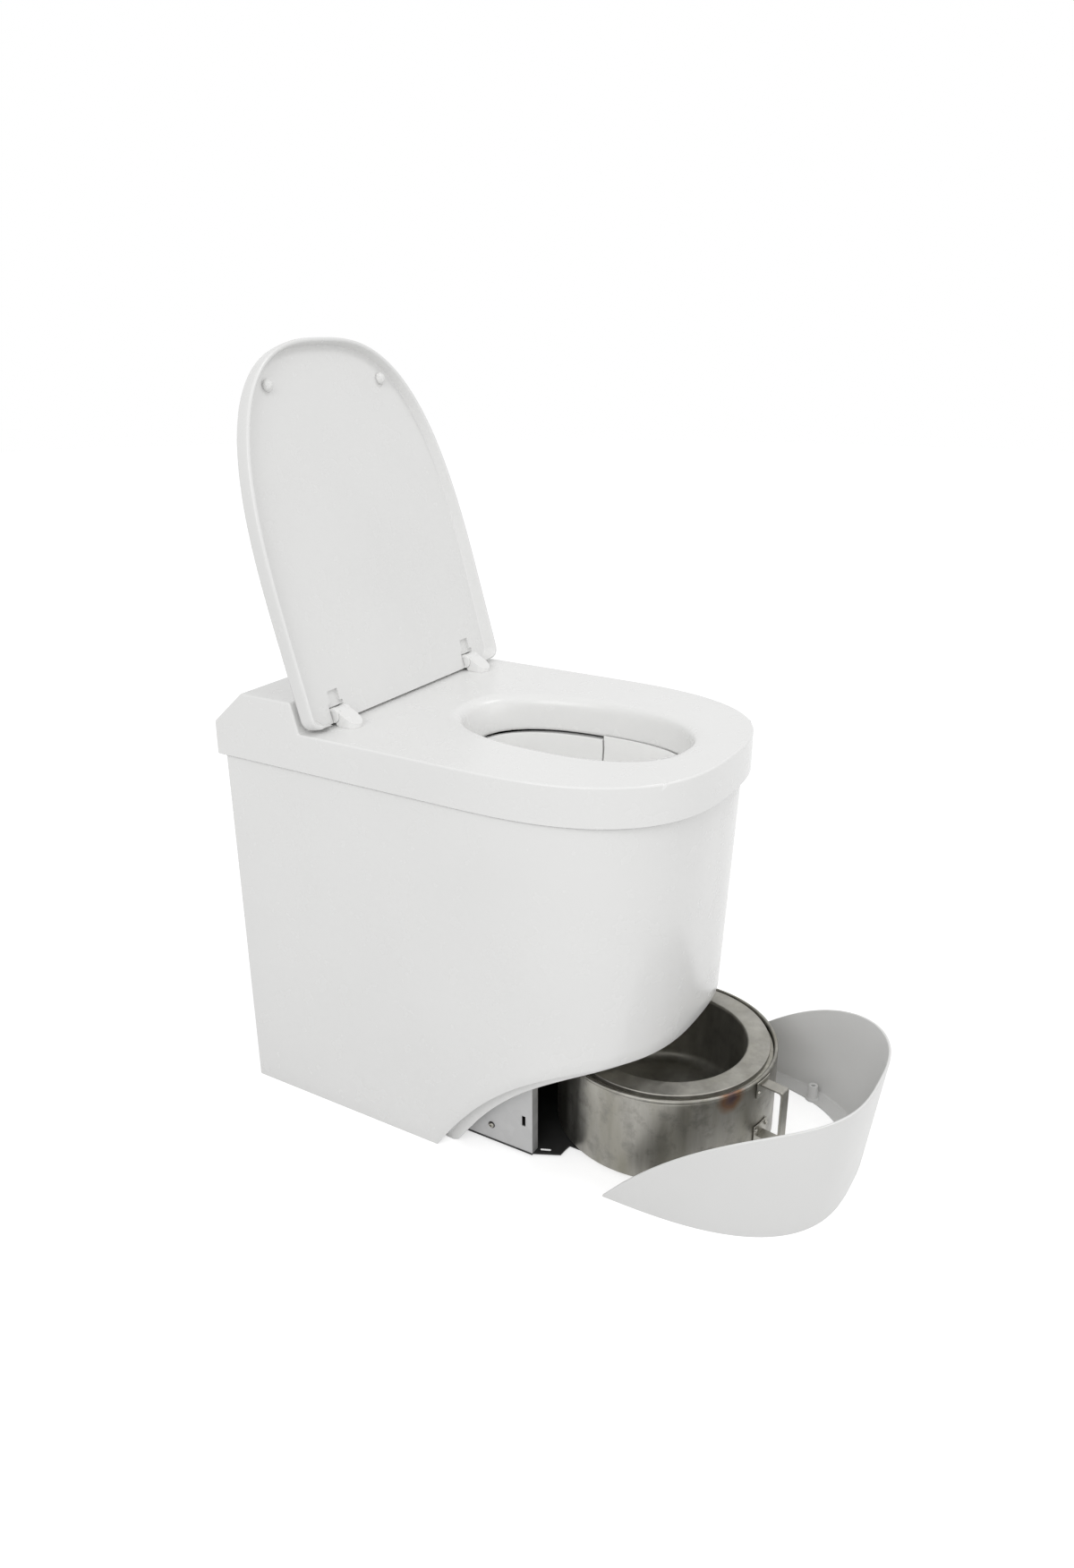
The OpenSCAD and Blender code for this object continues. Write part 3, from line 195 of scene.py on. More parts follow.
def steel_material(name, rgba, roughness, streak, stain, heat=None, metallic=1.0):
    """Brushed steel: fine streaks along one axis, cloudy stains and, where asked, a heat tint"""
    n = Nodes(name)
    fine = n.noise(60.0, 6.0, 0.65, n.stretched(streak))
    broad = n.noise(14.0, 3.0, 0.6, n.stretched(tuple(0.25 if s < 1 else 1.0 for s in streak)))
    cloud = n.noise(9.0, 4.0, 0.6)
    tone = n.mix(n.ramp(fine, 0.3, 0.7), darker(rgba, 0.80), darker(rgba, 1.18))
    tone = n.mix(n.ramp(broad, 0.42, 0.68, 0, stain), tone, (rgba[0] * 0.62, rgba[1] * 0.60, rgba[2] * 0.46, 1))
    tone = n.mix(n.ramp(cloud, 0.55, 0.75, 0, stain), tone, darker(rgba, 1.45))
    tone = n.mix(n.ramp(n.noise(55.0, 5.0, 0.65), 0.5, 0.66, 0, stain), tone, darker(rgba, 0.62))
    if heat:
        centre, reach = heat
        far = n.add("ShaderNodeVectorMath", {0: n.coords, 1: centre}, operation="DISTANCE").outputs["Value"]
        near = n.add("ShaderNodeMath", {0: far, 1: n.ramp(cloud, 0.3, 0.7, -reach * 0.5, reach * 0.5)},
                     operation="ADD").outputs[0]
        tone = n.mix(n.ramp(near, reach * 0.55, reach, 0.75, 0), tone, STRAW)
        tone = n.mix(n.ramp(near, reach * 0.2, reach * 0.5, 0.6, 0), tone, BLUE)
    n.shade(Base_Color=tone, Metallic=metallic)
    n.shade(Roughness=n.ramp(fine, 0.3, 0.7, roughness - 0.07, roughness + 0.09))
    n.bump(fine, 0.25, 0.0002)
    return n.material


def sheet_material(name, rgba):
    """Galvanised sheet: pale cells of zinc on a satin metal"""
    n = Nodes(name)
    cells = n.add("ShaderNodeTexVoronoi", {"Vector": n.coords, "Scale": 90.0}, feature="F1")
    grey = n.add("ShaderNodeSeparateColor", {"Color": cells.outputs["Color"]}).outputs[0]
    tone = n.mix(n.ramp(grey, 0.0, 1.0), darker(rgba, 0.95), darker(rgba, 1.04))
    tone = n.mix(n.ramp(n.noise(12.0, 4.0), 0.5, 0.75, 0, 0.3), tone, darker(rgba, 0.88))
    n.shade(Base_Color=tone, Metallic=0.6, Roughness=n.ramp(grey, 0.0, 1.0, 0.44, 0.52))
    n.bump(n.noise(300.0), 0.08, 0.0003)
    return n.material


def plain_material(name, rgba, roughness, scale=400.0, depth=0.1):
    """Rubber, board, fibre or dark plastic: an even colour with a fine uneven surface"""
    n = Nodes(name)
    grain = n.noise(scale, 4.0)
    n.shade(Base_Color=n.mix(n.ramp(grain, 0.3, 0.7), darker(rgba, 0.82), darker(rgba, 1.12)))
    n.shade(Roughness=n.ramp(grain, 0.3, 0.7, roughness - 0.06, roughness + 0.06))
    n.bump(grain, depth, 0.0005)
    return n.material


def lamp_material(name):
    """A status lamp's tinted lens"""
    n = Nodes(name)
    n.shade(Base_Color=n.mix(n.ramp(n.noise(500.0), 0.3, 0.7), (0.20, 0.55, 0.22, 1), (0.28, 0.70, 0.30, 1)))
    n.shade(Roughness=0.12, Coat_Weight=0.6, Coat_Roughness=0.05)
    return n.material


_materials = {}


def material(name):
    """The finish of that name, made when it is first asked for"""
    if name in _materials:
        return _materials[name]
    f = finish()
    white, steel, sheet, dark = (tuple(c) for c in (f.moulding, f.steel, f.sheet, f.dark))
    made = {
        "moulding": (moulding_material, "moulded_white", white),
        # The cover is the same white moulding with a rougher gloss, made darker to paint the shade low on the
        # front
        "cover_shaded_moulding": (moulding_material, "cover_white", darker(white, 0.94), 0.36),
        # The lid is the same white moulding, made a little darker to paint the shade on its inner face
        "lid_shaded_moulding": (moulding_material, "lid_white", darker(white, 0.95)),
        "glaze": (moulding_material, "bowl_glaze", tuple(f.bowl), 0.14, 0.02),
        "drum_steel": (steel_material, "brushed_drum", darker(steel, 0.86), 0.40, (1, 1, 0.12), 0.65, HEAT_SPOT),
        "pot_steel": (steel_material, "pot_steel", steel, 0.46, (1, 1, 0.25), 0.3, None, 0.9),
        "handle_steel": (steel_material, "handle_steel", darker(steel, 1.1), 0.36, (1, 1, 0.2), 0.3),
        "hot_steel": (steel_material, "hot_steel", (0.30, 0.26, 0.22, 1), 0.42, (1, 1, 0.3), 0.6),
        "sheet": (sheet_material, "galvanised_sheet", sheet),
        # A copy of the sheet, darkened almost to black to paint the shade inside the ash bay
        "bay_shade_sheet": (sheet_material, "smoked_sheet", darker(sheet, 0.12)),
        "fibre": (plain_material, "insulation_fibre", (0.62, 0.60, 0.53, 1), 0.9, 160.0, 0.9),
        "seal": (plain_material, "seal_rope", (0.10, 0.09, 0.08, 1), 0.85, 500.0, 0.6),
        "dark_plastic": (plain_material, "dark_plastic", dark, 0.45),
        "grey_plastic": (plain_material, "fascia_grey", (0.42, 0.43, 0.44, 1), 0.35, 600.0, 0.04),
        "board": (plain_material, "circuit_board", (0.02, 0.10, 0.04, 1), 0.35, 300.0),
        "pressed_board": (plain_material, "pressed_board", (0.20, 0.14, 0.08, 1), 0.8, 250.0, 0.5),
        "rubber": (plain_material, "white_rubber", (0.80, 0.80, 0.79, 1), 0.5, 700.0, 0.05),
        "lamp": (lamp_material, "lamp_lens"),
    }
    make, *given = made[name]
    _materials[name] = make(*given)
    return _materials[name]


# Modelling helpers

SIDES = (("left", -1), ("right", 1))
MERGE = 1e-6


def angles(degrees):
    return [radians(a) for a in degrees]


def lerp(a, b, t):
    return a + (b - a) * t


def front_arc(hw, bend, nose, power, step=2.5):
    """Points of a rounded front from the right side round the nose to the left side"""
    turns = angles(step * i for i in range(round(180 / step) + 1))
    return [(hw * copysign(abs(cos(a)) ** (2 / power), cos(a)),
             bend - (bend - nose) * max(0.0, sin(a)) ** (2 / power)) for a in turns]


def around(turns, sides, stops, rear):
    """Columns round a moulding, each with its kind: corner, side and front, then the same back, and the rear"""
    return ([("corner", 1, a) for a in turns[::-1]] + [("side", 1, y) for y in sides]
            + [("arc", x, y) for x, y in stops] + [("side", -1, y) for y in sides[::-1]]
            + [("corner", -1, a) for a in turns] + [("rear", x, 0) for x in rear])


def arc(centre, radius, first, last, step):
    """Points of a round corner in a profile, between two angles in degrees"""
    return [(centre[0] + radius * cos(a), centre[1] + radius * sin(a))
            for a in angles(range(first, last + (1 if step > 0 else -1), step))]


def grid_surface(columns, rows, place, closed=True):
    """A grid whose vertices move to place(column, row), merged where the last column meets the first"""
    bm = bmesh.new()
    bmesh.ops.create_grid(bm, x_segments=columns - 1 + closed, y_segments=rows - 1, size=0.5)
    for v in bm.verts:
        column = round((v.co.x + 0.5) * (columns - 1 + closed)) % columns
        row = round((v.co.y + 0.5) * (rows - 1))
        v.co = place(column, row)
    bmesh.ops.remove_doubles(bm, verts=bm.verts, dist=MERGE)
    return bm


def slab(outline, way, bm=None):
    """A flat outline of a few points drawn out along a way, in a bmesh of its own or in a given one"""
    bm = bm or bmesh.new()
    face = bm.faces.new([bm.verts.new(p) for p in outline])
    grown = bmesh.ops.extrude_face_region(bm, geom=[face])["geom"]
    bmesh.ops.translate(bm, vec=way, verts=[v for v in grown if isinstance(v, bmesh.types.BMVert)])
    return bm


def full_turn(points, centre, axis, steps):
    """A line of points turned once round an axis"""
    bm = bmesh.new()
    verts = [bm.verts.new(p) for p in points]
    edges = [bm.edges.new(pair) for pair in zip(verts, verts[1:])]
    bmesh.ops.spin(bm, geom=verts + edges, cent=centre, axis=axis, angle=2 * pi, steps=steps,
                   use_merge=True)
    bmesh.ops.remove_doubles(bm, verts=bm.verts, dist=MERGE)
    return bm


def spun(profile, centre, steps=144):
    """A profile of (radius, height) turned round an upright axis"""
    x, y = centre
    return full_turn([(x + r, y, z) for r, z in profile], (x, y, 0), (0, 0, 1), steps)


def turned(profile, steps=40):
    """A profile of (radius, x) turned round the X axis"""
    return full_turn([(x, r, 0) for r, x in profile], (0, 0, 0), (1, 0, 0), steps)


def mirror(bm):
    """Makes a bmesh its own mirror image across X = 0"""
    bmesh.ops.scale(bm, vec=(-1, 1, 1), verts=bm.verts)
    bmesh.ops.reverse_faces(bm, faces=bm.faces)


def slide(bm, way):
    bmesh.ops.translate(bm, vec=way, verts=bm.verts)


def move(bm, matrix):
    bmesh.ops.transform(bm, matrix=matrix, verts=bm.verts)


def placed(name, data):
    """A new object of some data, in the scene"""
    obj = bpy.data.objects.new(name, data)
    bpy.context.scene.collection.objects.link(obj)
    return obj


def solid(name, bm):
    """A new object of a bmesh, which is used up"""
    mesh = bpy.data.meshes.new(name)
    bm.to_mesh(mesh)
    bm.free()
    return placed(name, mesh)


def cut(bm, tool, kind="DIFFERENCE"):
    """Joins or cuts one closed bmesh with another and returns the result"""
    objs = []
    for part in (bm, tool):
        bmesh.ops.recalc_face_normals(part, faces=part.faces)
        objs.append(solid("cut", part))
    modifier = objs[0].modifiers.new("cut", "BOOLEAN")
    modifier.operation = kind
    modifier.object = objs[1]
    modifier.solver = "EXACT"
    made = bpy.data.meshes.new_from_object(objs[0].evaluated_get(bpy.context.evaluated_depsgraph_get()))
    result = bmesh.new()
    result.from_mesh(made)
    bpy.data.meshes.remove(made)
    for obj in objs:
        bpy.data.meshes.remove(obj.data)
    bmesh.ops.remove_doubles(result, verts=result.verts, dist=MERGE)
    return result


def round_over(bm, edges, offset, segments, **more):
    """Rounds some edges of a bmesh"""
    bmesh.ops.bevel(bm, geom=edges, offset=offset, offset_type="OFFSET", segments=segments, profile=0.5,
                    affect="EDGES", material=-1, **more)


def block(low, high, bevel, segments=3):
    """A box between two corners, with rounded edges unless bevel is 0"""
    bm = bmesh.new()
    bmesh.ops.create_cube(bm, size=1)
    bmesh.ops.scale(bm, vec=Vector(high) - Vector(low), verts=bm.verts)
    slide(bm, (Vector(high) + Vector(low)) / 2)
    if bevel:
        round_over(bm, bm.edges[:], bevel, segments)
    return bm


def drop_faces(bm, doomed):
    """Opens a window where doomed(x, y, z) holds for the middle of a face"""
    bmesh.ops.delete(bm, geom=[f for f in bm.faces if doomed(*f.calc_center_median())], context="FACES")


def fill_ends(bm):
    """Closes each open loop of a mesh with a face"""
    bmesh.ops.holes_fill(bm, edges=[e for e in bm.edges if e.is_boundary], sides=0)


def bevel_modifier(obj, width, limit):
    """Rounds the edges of an object that turn by more than a limit in degrees"""
    edges = obj.modifiers.new("edges", "BEVEL")
    edges.width = width
    edges.segments = 3
    edges.limit_method = "ANGLE"
    edges.angle_limit = radians(limit)


def piece(name, bm, finish_name, body, slot, stands_for=(), smooth=40, thickness=0.0, bevel=0.0):
    """Makes an object of a bmesh, gives it its finish and its thickness, and lets it ride on its body"""
    bmesh.ops.recalc_face_normals(bm, faces=bm.faces)
    for face in bm.faces:
        face.smooth = True
    for edge in bm.edges:
        edge.smooth = len(edge.link_faces) != 2 or edge.calc_face_angle(0) < radians(smooth)
    obj = solid(name, bm)
    obj.data.materials.append(material(finish_name))
    if thickness:
        wall = obj.modifiers.new("wall", "SOLIDIFY")
        wall.thickness = thickness
        wall.offset = -1
        wall.use_even_offset = True
    if bevel:
        bevel_modifier(obj, bevel, 40)
    obj.modifiers.new("even_shade", "WEIGHTED_NORMAL").keep_sharp = True
    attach(obj, body)
    if stands_for:
        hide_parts(*stands_for)


# Seat top

# Where the straight sides end and the rounded front begins, and the front's squareness
BEND = -0.040
SQUARE = 2.66
DISH_CENTRE = -0.100
# Half width, reach to the rear, reach to the front, squareness and height of the dish's outlines
DISH_LEVELS = [
    (0.107, 0.1756, 0.1564, 2.60, 0.5010), (0.1035, 0.1722, 0.1500, 2.55, 0.5009),
    (0.1000, 0.1685, 0.1420, 2.42, 0.5001), (0.0965, 0.1645, 0.1335, 2.25, 0.4983),
    (0.0940, 0.1610, 0.1300, 2.22, 0.4950), (0.0925, 0.1590, 0.1290, 2.24, 0.4910),
    (0.0915, 0.1570, 0.1280, 2.28, 0.4860), (0.0905, 0.1545, 0.1270, 2.34, 0.4780),
    (0.0897, 0.1525, 0.1260, 2.40, 0.4700), (0.0890, 0.1506, 0.1254, 2.45, 0.4620),
    (0.0896, 0.1512, 0.1260, 2.45, 0.4580),
]


def oval_point(x, y, level):
    """The place on one of the dish's outlines in the direction of (x, y)"""
    half, rear, front, power, height = level
    turn = atan2(y - DISH_CENTRE, x)
    c, s = abs(cos(turn)) / half, abs(sin(turn)) / (rear if sin(turn) > 0 else front)
    radius = 1 / (c ** power + s ** power) ** (1 / power)
    return Vector((radius * cos(turn), radius * sin(turn) + DISH_CENTRE, height))


class TOILET_OT_seat_top(bpy.types.Operator):
    """Makes the seat moulding with its sunk dish and the housing behind it"""

    bl_idname = "toilet.seat_top"
    bl_label = "Seat Top"

    def execute(self, context):
        s = sizes()
        hw, top, high, rear = s.seat_width / 2, s.seat_height, s.housing_height, s.seat_rear
        low, rim = SEAT_LOW.z, 0.0012
        foot, lean, slope = 0.168, 0.010, 0.047
        window_front, window_rear, window_left, window_right = 0.2065, 0.2285, -0.05, 0.07
        side = [(hw, y) for y in (foot, 0.135, 0.10, 0.065, 0.03, -0.01)]
        front = side + front_arc(hw, BEND, -s.seat_nose, SQUARE) + [(-x, y) for x, y in side[::-1]]
        back = [(x, foot) for x in (-hw, -0.150, -0.105, window_left, 0, 0.035, window_right, 0.105, 0.150, hw)]
        loop = front + back
        # Rows from the bottom of the skirt up to the seat: heights in front, and depth and height behind
        drops = [low, low + rim, 0.462, 0.468, 0.475, 0.481, 0.487, 0.492]
        rows_back = [(rear - rim, low), (rear, low + rim), (rear, 0.475), (rear, 0.4955), (rear - slope, high),
                     (window_rear, high), (window_front, high), (foot + lean, high)]

        def place(column, row):
            x, y = loop[column]
            if row > len(drops):
                return oval_point(x, y, DISH_LEVELS[row - len(drops) - 1])
            if row == len(drops):
                return Vector((x, y, top))
            shrink = 1 - (rim if row == 0 else 0) / hw
            if column >= len(front):
                return Vector((x * shrink, *rows_back[row]))
            return Vector((x * shrink, y * shrink if y < BEND else y, drops[row]))

        bm = grid_surface(len(loop), len(drops) + 1 + len(DISH_LEVELS), place)
        drop_faces(bm, lambda x, y, z: z > high - 0.001 and window_front < y < window_rear
                   and window_left < x < window_right)
        round_over(bm, [e for e in bm.edges if self.is_rolled(e, low + 0.01)], s.edge_roll, 6,
                   clamp_overlap=True)
        piece("seat_moulding", bm, "moulding", "body", "white_moulding", ("seat_top",), thickness=0.004)
        return {"FINISHED"}

    @staticmethod
    def is_rolled(edge, low):
        """Whether an edge is a sharp one above the skirt's foot and outside the dish"""
        x, y, z = (edge.verts[0].co + edge.verts[1].co) / 2
        in_dish = abs(x) < 0.125 and -0.262 < y < 0.10
        return len(edge.link_faces) == 2 and edge.calc_face_angle(0) > radians(22) and z > low and not in_dish


# Outer shell

SHELL_TOP = 0.470
# Half width, nose and rear at the top, and how far each has moved at the floor
SHELL_PLAN = ((0.195 - 0.0043, 0.004), (-(0.2855 - 0.0096), 0.0225), (0.300 - 0.007, -0.0077))
CUT_TIP = -0.007
CUT_CLIMB = 2.5


def shell_plan(z):
    """Half width, nose and rear of the shell at a height"""
    return [top + change * (1 - z / SHELL_TOP) for top, change in SHELL_PLAN]


def along_cut(y):
    """Share of the way from the tips of the cut to its nose"""
    nose = shell_plan(sizes().cut_height)[1] - 0.004
    return min(1.0, max(0.0, (CUT_TIP - y) / (CUT_TIP - nose)))


# Lowest edge of a sloped wall, which its thickness carries a little further down
STAND_OFF = 0.00005


def cut_z(y):
    return max(STAND_OFF, sizes().cut_height * (1 - (1 - along_cut(y)) ** CUT_CLIMB))


def lip_edge(y):
    """Height and inset of the lip's lower edge"""
    share, at_nose, at_tips, inset = along_cut(y), 0.005, 0.020, 0.0195
    low = cut_z(y) - at_nose - at_tips * (1 - share ** 1.4)
    return max(STAND_OFF, low), inset * (0.5 + 0.5 * (1 - share) ** 1.5)


class TOILET_OT_outer_shell(bpy.types.Operator):
    """Makes the swept outer shell and the soft lip behind its cut"""

    bl_idname = "toilet.outer_shell"
    bl_label = "Outer Shell"

    def execute(self, context):
        self.shell()
        self.lip()
        return {"FINISHED"}

    def shell(self):
        radius, open_half, middle = 0.006, 0.143, 0.079
        sides = (0.26, 0.20, 0.14, 0.09, 0.05, 0.02, -0.0070, -0.0130, -0.0190, -0.0260, -0.0330)
        # Columns round the shell, and each row's share of the way from the top down to the cut
        columns = around((0, 30, 60, 90), sides, front_arc(1, 0, -1, SQUARE, 2), (-open_half, open_half))
        shares = (0.0, 0.0596, 0.2, 0.35, 0.5, 0.65, 0.8, 0.9489, 1.0)

        def spot(column, z, inset):
            kind, a, b = columns[column]
            half, nose, rear = (at + way * inset for at, way in zip(shell_plan(z), (-1, 1, -1)))
            if kind == "corner":
                turn = radians(b)
                x, y = half - radius + radius * cos(turn), rear - radius + radius * sin(turn)
                return Vector((a * x, y, z))
            if kind == "side":
                return Vector((a * half, b, z))
            if kind == "arc":
                return Vector((a * half, BEND + (BEND - nose) * b, z))
            return Vector((a, rear, z))

        def cut_at(column):
            return spot(column, middle, 0)[1]

        def place(column, row):
            return spot(column, lerp(SHELL_TOP, cut_z(cut_at(column)), shares[row]), 0)

        bm = grid_surface(len(columns), len(shares), place)
        drop_faces(bm, lambda x, y, z: y > 0.28 and abs(x) < 0.1 and 0.024 < z < 0.442)
        piece("shell_moulding", bm, "moulding", "body", "white_moulding", ("outer_shell",),
              thickness=sizes().shell_wall)
        self.spot, self.cut_at, self.columns = spot, cut_at, columns

    def lip(self):
        chosen = [i for i, c in enumerate(self.columns) if c[0] in ("side", "arc") and c[2] < 0.01]
        turns = angles(range(0, 91, 15))
        behind, bend_high, bend_low, edge = 0.0034, 0.008, 0.002, 0.001

        def place(column, row):
            y = self.cut_at(chosen[column])
            low, inset = lip_edge(y)
            cut_edge = cut_z(y)
            if row == 0:
                return self.spot(chosen[column], cut_edge + 0.010, behind - 0.0003)
            if row <= len(turns):
                turn = turns[row - 1]
                z = max(cut_edge - bend_low + bend_high * cos(turn), low + bend_low)
                return self.spot(chosen[column], z, behind + (inset - 0.0042) * sin(turn))
            return self.spot(chosen[column], low + (edge if row == len(turns) + 1 else 0), inset - 0.0004)

        bm = grid_surface(len(chosen), len(turns) + 3, place, closed=False)
        piece("shell_lip", bm, "moulding", "body", "white_moulding", ("outer_shell",), thickness=0.0025)


# Lid

HINGE_X = 0.137
HINGE_AT = (0.154, 0.513)
# Half width, lowest y, highest y and depth of the steps of the pocket above a hinge
POCKET = ((0.0131, -0.0095, 0.020, 0.0098), (0.0131, -0.0146, -0.009, 0.0048), (0.0088, -0.0290, -0.012, 0.0058))


def lid_place():
    return Matrix.Translation((0, *HINGE_AT)) @ Matrix.Rotation(-sizes().lid_turn, 4, "X")


class TOILET_OT_lid(bpy.types.Operator):
    """Makes the deep-rimmed tray of the lid, swung open on its hinges"""

    bl_idname = "toilet.lid"
    bl_label = "Lid"

    def execute(self, context):
        hw, tail, length = 0.1945, 0.0085, 0.434
        top, panel = 0.0125, 0.0018
        rim = top - 0.0225
        bend = tail - length / 4
        corner, square, out, outline = 0.015, 2.77, 0.0052, 5
        # Between these shares of the width, the rear edge goes from the open middle to the rim
        step_from, step_to = 0.87, 0.90
        sides = (-0.012, -0.03, -0.055, -0.08)
        shares = (-0.93, -step_to, -step_from, -0.45, 0.0, 0.45, step_from, step_to, 0.93)
        columns = around(range(0, 91, 10), sides, front_arc(1, 0, -1, square), shares)
        # Share of the way across the inner wall and height of each inner row, then inset and height of the rest
        wall_rows = [(1.0, panel), (0.93, panel - 0.0001), (0.85, panel - 0.0004), (0.77, panel - 0.0010),
                     (0.69, panel - 0.0019), (0.15, rim + 0.0030)]
        rows = [(out, rim + 0.0014), (0.0042, rim + 0.0004), (0.0030, rim), (0.0018, rim + 0.0003),
                (0.0007, rim + 0.0010), (0.0, rim + 0.0025), (0.0, rim + 0.0080), (0.0004, top - 0.0075),
                (0.0011, top - 0.0052), (0.0022, top - 0.0032), (0.0040, top - 0.0016), (0.0064, top - 0.0006),
                (0.0095, top - 0.0001), (0.0150, top)]
        inner = len(wall_rows)

        def place(column, row):
            kind, a, b = columns[column]
            along = {"side": b, "arc": bend + (bend - tail + length) * b}.get(kind, 0.0)
            if row < inner:
                share, z = wall_rows[row]
                inset = lerp(out, lerp(0.0152, 0.0070, -along / length), share)
            else:
                inset, z = rows[row - inner]
            radius = max(corner - inset, 0.0025)
            if kind == "corner":
                turn = radians(b)
                x = a * (hw - inset - radius + radius * cos(turn))
                y = tail - inset - radius + radius * sin(turn)
            elif kind == "side":
                x, y = a * (hw - inset), b
            elif kind == "arc":
                x, y = a * (hw - inset), bend + (bend - (tail - length + inset)) * b
            else:
                x, y = a * (hw - inset - radius), tail - inset * 0.15
                step = min(1.0, max(0.0, (abs(a) - step_from) / (step_to - step_from)))
                if row < inner + outline:
                    z = lerp(panel - 0.0004, min(z + 0.004, panel - 0.001), step)
                else:
                    z = lerp(max(z, top - 0.0022), z, step)
            return Vector((x, y, z))

        bm = grid_surface(len(columns), inner + len(rows), place)
        fill_ends(bm)
        for centre in (-HINGE_X, HINGE_X):
            for half, low, high, deep in POCKET:
                bm = cut(bm, block((centre - half, low, rim - 0.001), (centre + half, high, deep), 0.0008))
        move(bm, lid_place())
        piece("lid_shaded_moulding", bm, "lid_shaded_moulding", "lid", "white_moulding", ("lid",), smooth=35)
        return {"FINISHED"}


# Front cover

class TOILET_OT_front_cover(bpy.types.Operator):
    """Makes the curved front cover with its foot ring and screw posts"""

    bl_idname = "toilet.front_cover"
    bl_label = "Front Cover"

    def execute(self, context):
        half, tip, height, wall, square = 0.169, -0.010, 0.1505, 0.003, 2.83
        ring_t, ring_w, rounded, fillet_high = 0.0028, 0.019, 0.0006, 0.0056
        bend, aside, out, flare = tip - 0.002, -0.005, -0.21297, 0.019
        post_x, post_y = 0.133, -0.161
        stops = front_arc(1, 0, -1, square, 2)

        def nose(z):
            return shell_plan(0.0)[1] - flare * z / height

        def spot(x, y, inset, z):
            return Vector((x * (half - inset) + aside, bend + (bend - (nose(z) + inset)) * y + out, z))

        def top(y):
            middle = nose(height / 2)
            share = min(1.0, max(0.0, (tip - bend - (bend - middle) * y) / (tip - middle)))
            return max(0.0016, height * (1 - (1 - share) ** 1.95))

        def wall_section(y):
            high = top(y)
            lip = min(0.0013, high / 2)
            body = high - lip
            return ([(0.0, body * s) for s in (0.0, 0.3, 0.6, 0.85)]
                    + [(wall / 2 - wall / 2 * cos(t), body + lip * sin(t))
                       for t in angles(range(0, 181, 36))]
                    + [(wall, body * s) for s in (0.85, 0.6, 0.3, 0.0)])

        def ring_section(y):
            reach = 0.006 - (bend - nose(0.0)) * y
            inner = wall + ring_w * min(1.0, max(0.1, reach / 0.060)) + 0.001
            high = min(top(y), fillet_high)
            low = min(ring_t, high)
            return [(wall / 2, 0.0), (inner - rounded, 0.0), (inner, rounded), (inner, low - rounded),
                    (inner - rounded, low), (wall + 0.0014, low), (wall + 0.0005, (low + high) / 2),
                    (wall - 0.0002, high), (wall / 2, high)]

        for name, section, stations in (("wall", wall_section, stops), ("ring", ring_section, stops[1:-1])):
            rows = [section(y) for _, y in stations]
            bm = grid_surface(len(rows[0]), len(rows), lambda c, r: spot(*stations[r], *rows[r][c]))
            fill_ends(bm)
            self.part(name, bm)
        profile = [(0.0025, 0.0008), (0.0090, 0.0008), (0.0090, 0.0030), (0.0072, 0.0042), (0.0066, 0.0065),
                   (0.0062, 0.0200), (0.0058, 0.0212), (0.0032, 0.0215), (0.0025, 0.0208), (0.0025, 0.0008)]
        for name, side in SIDES:
            self.part("post_" + name, spun(profile, (side * post_x + aside, post_y + out), 48))
        return {"FINISHED"}

    @staticmethod
    def part(name, bm):
        piece("cover_" + name, bm, "cover_shaded_moulding", "cover", "white_moulding", ("front_cover",))


# Bowl

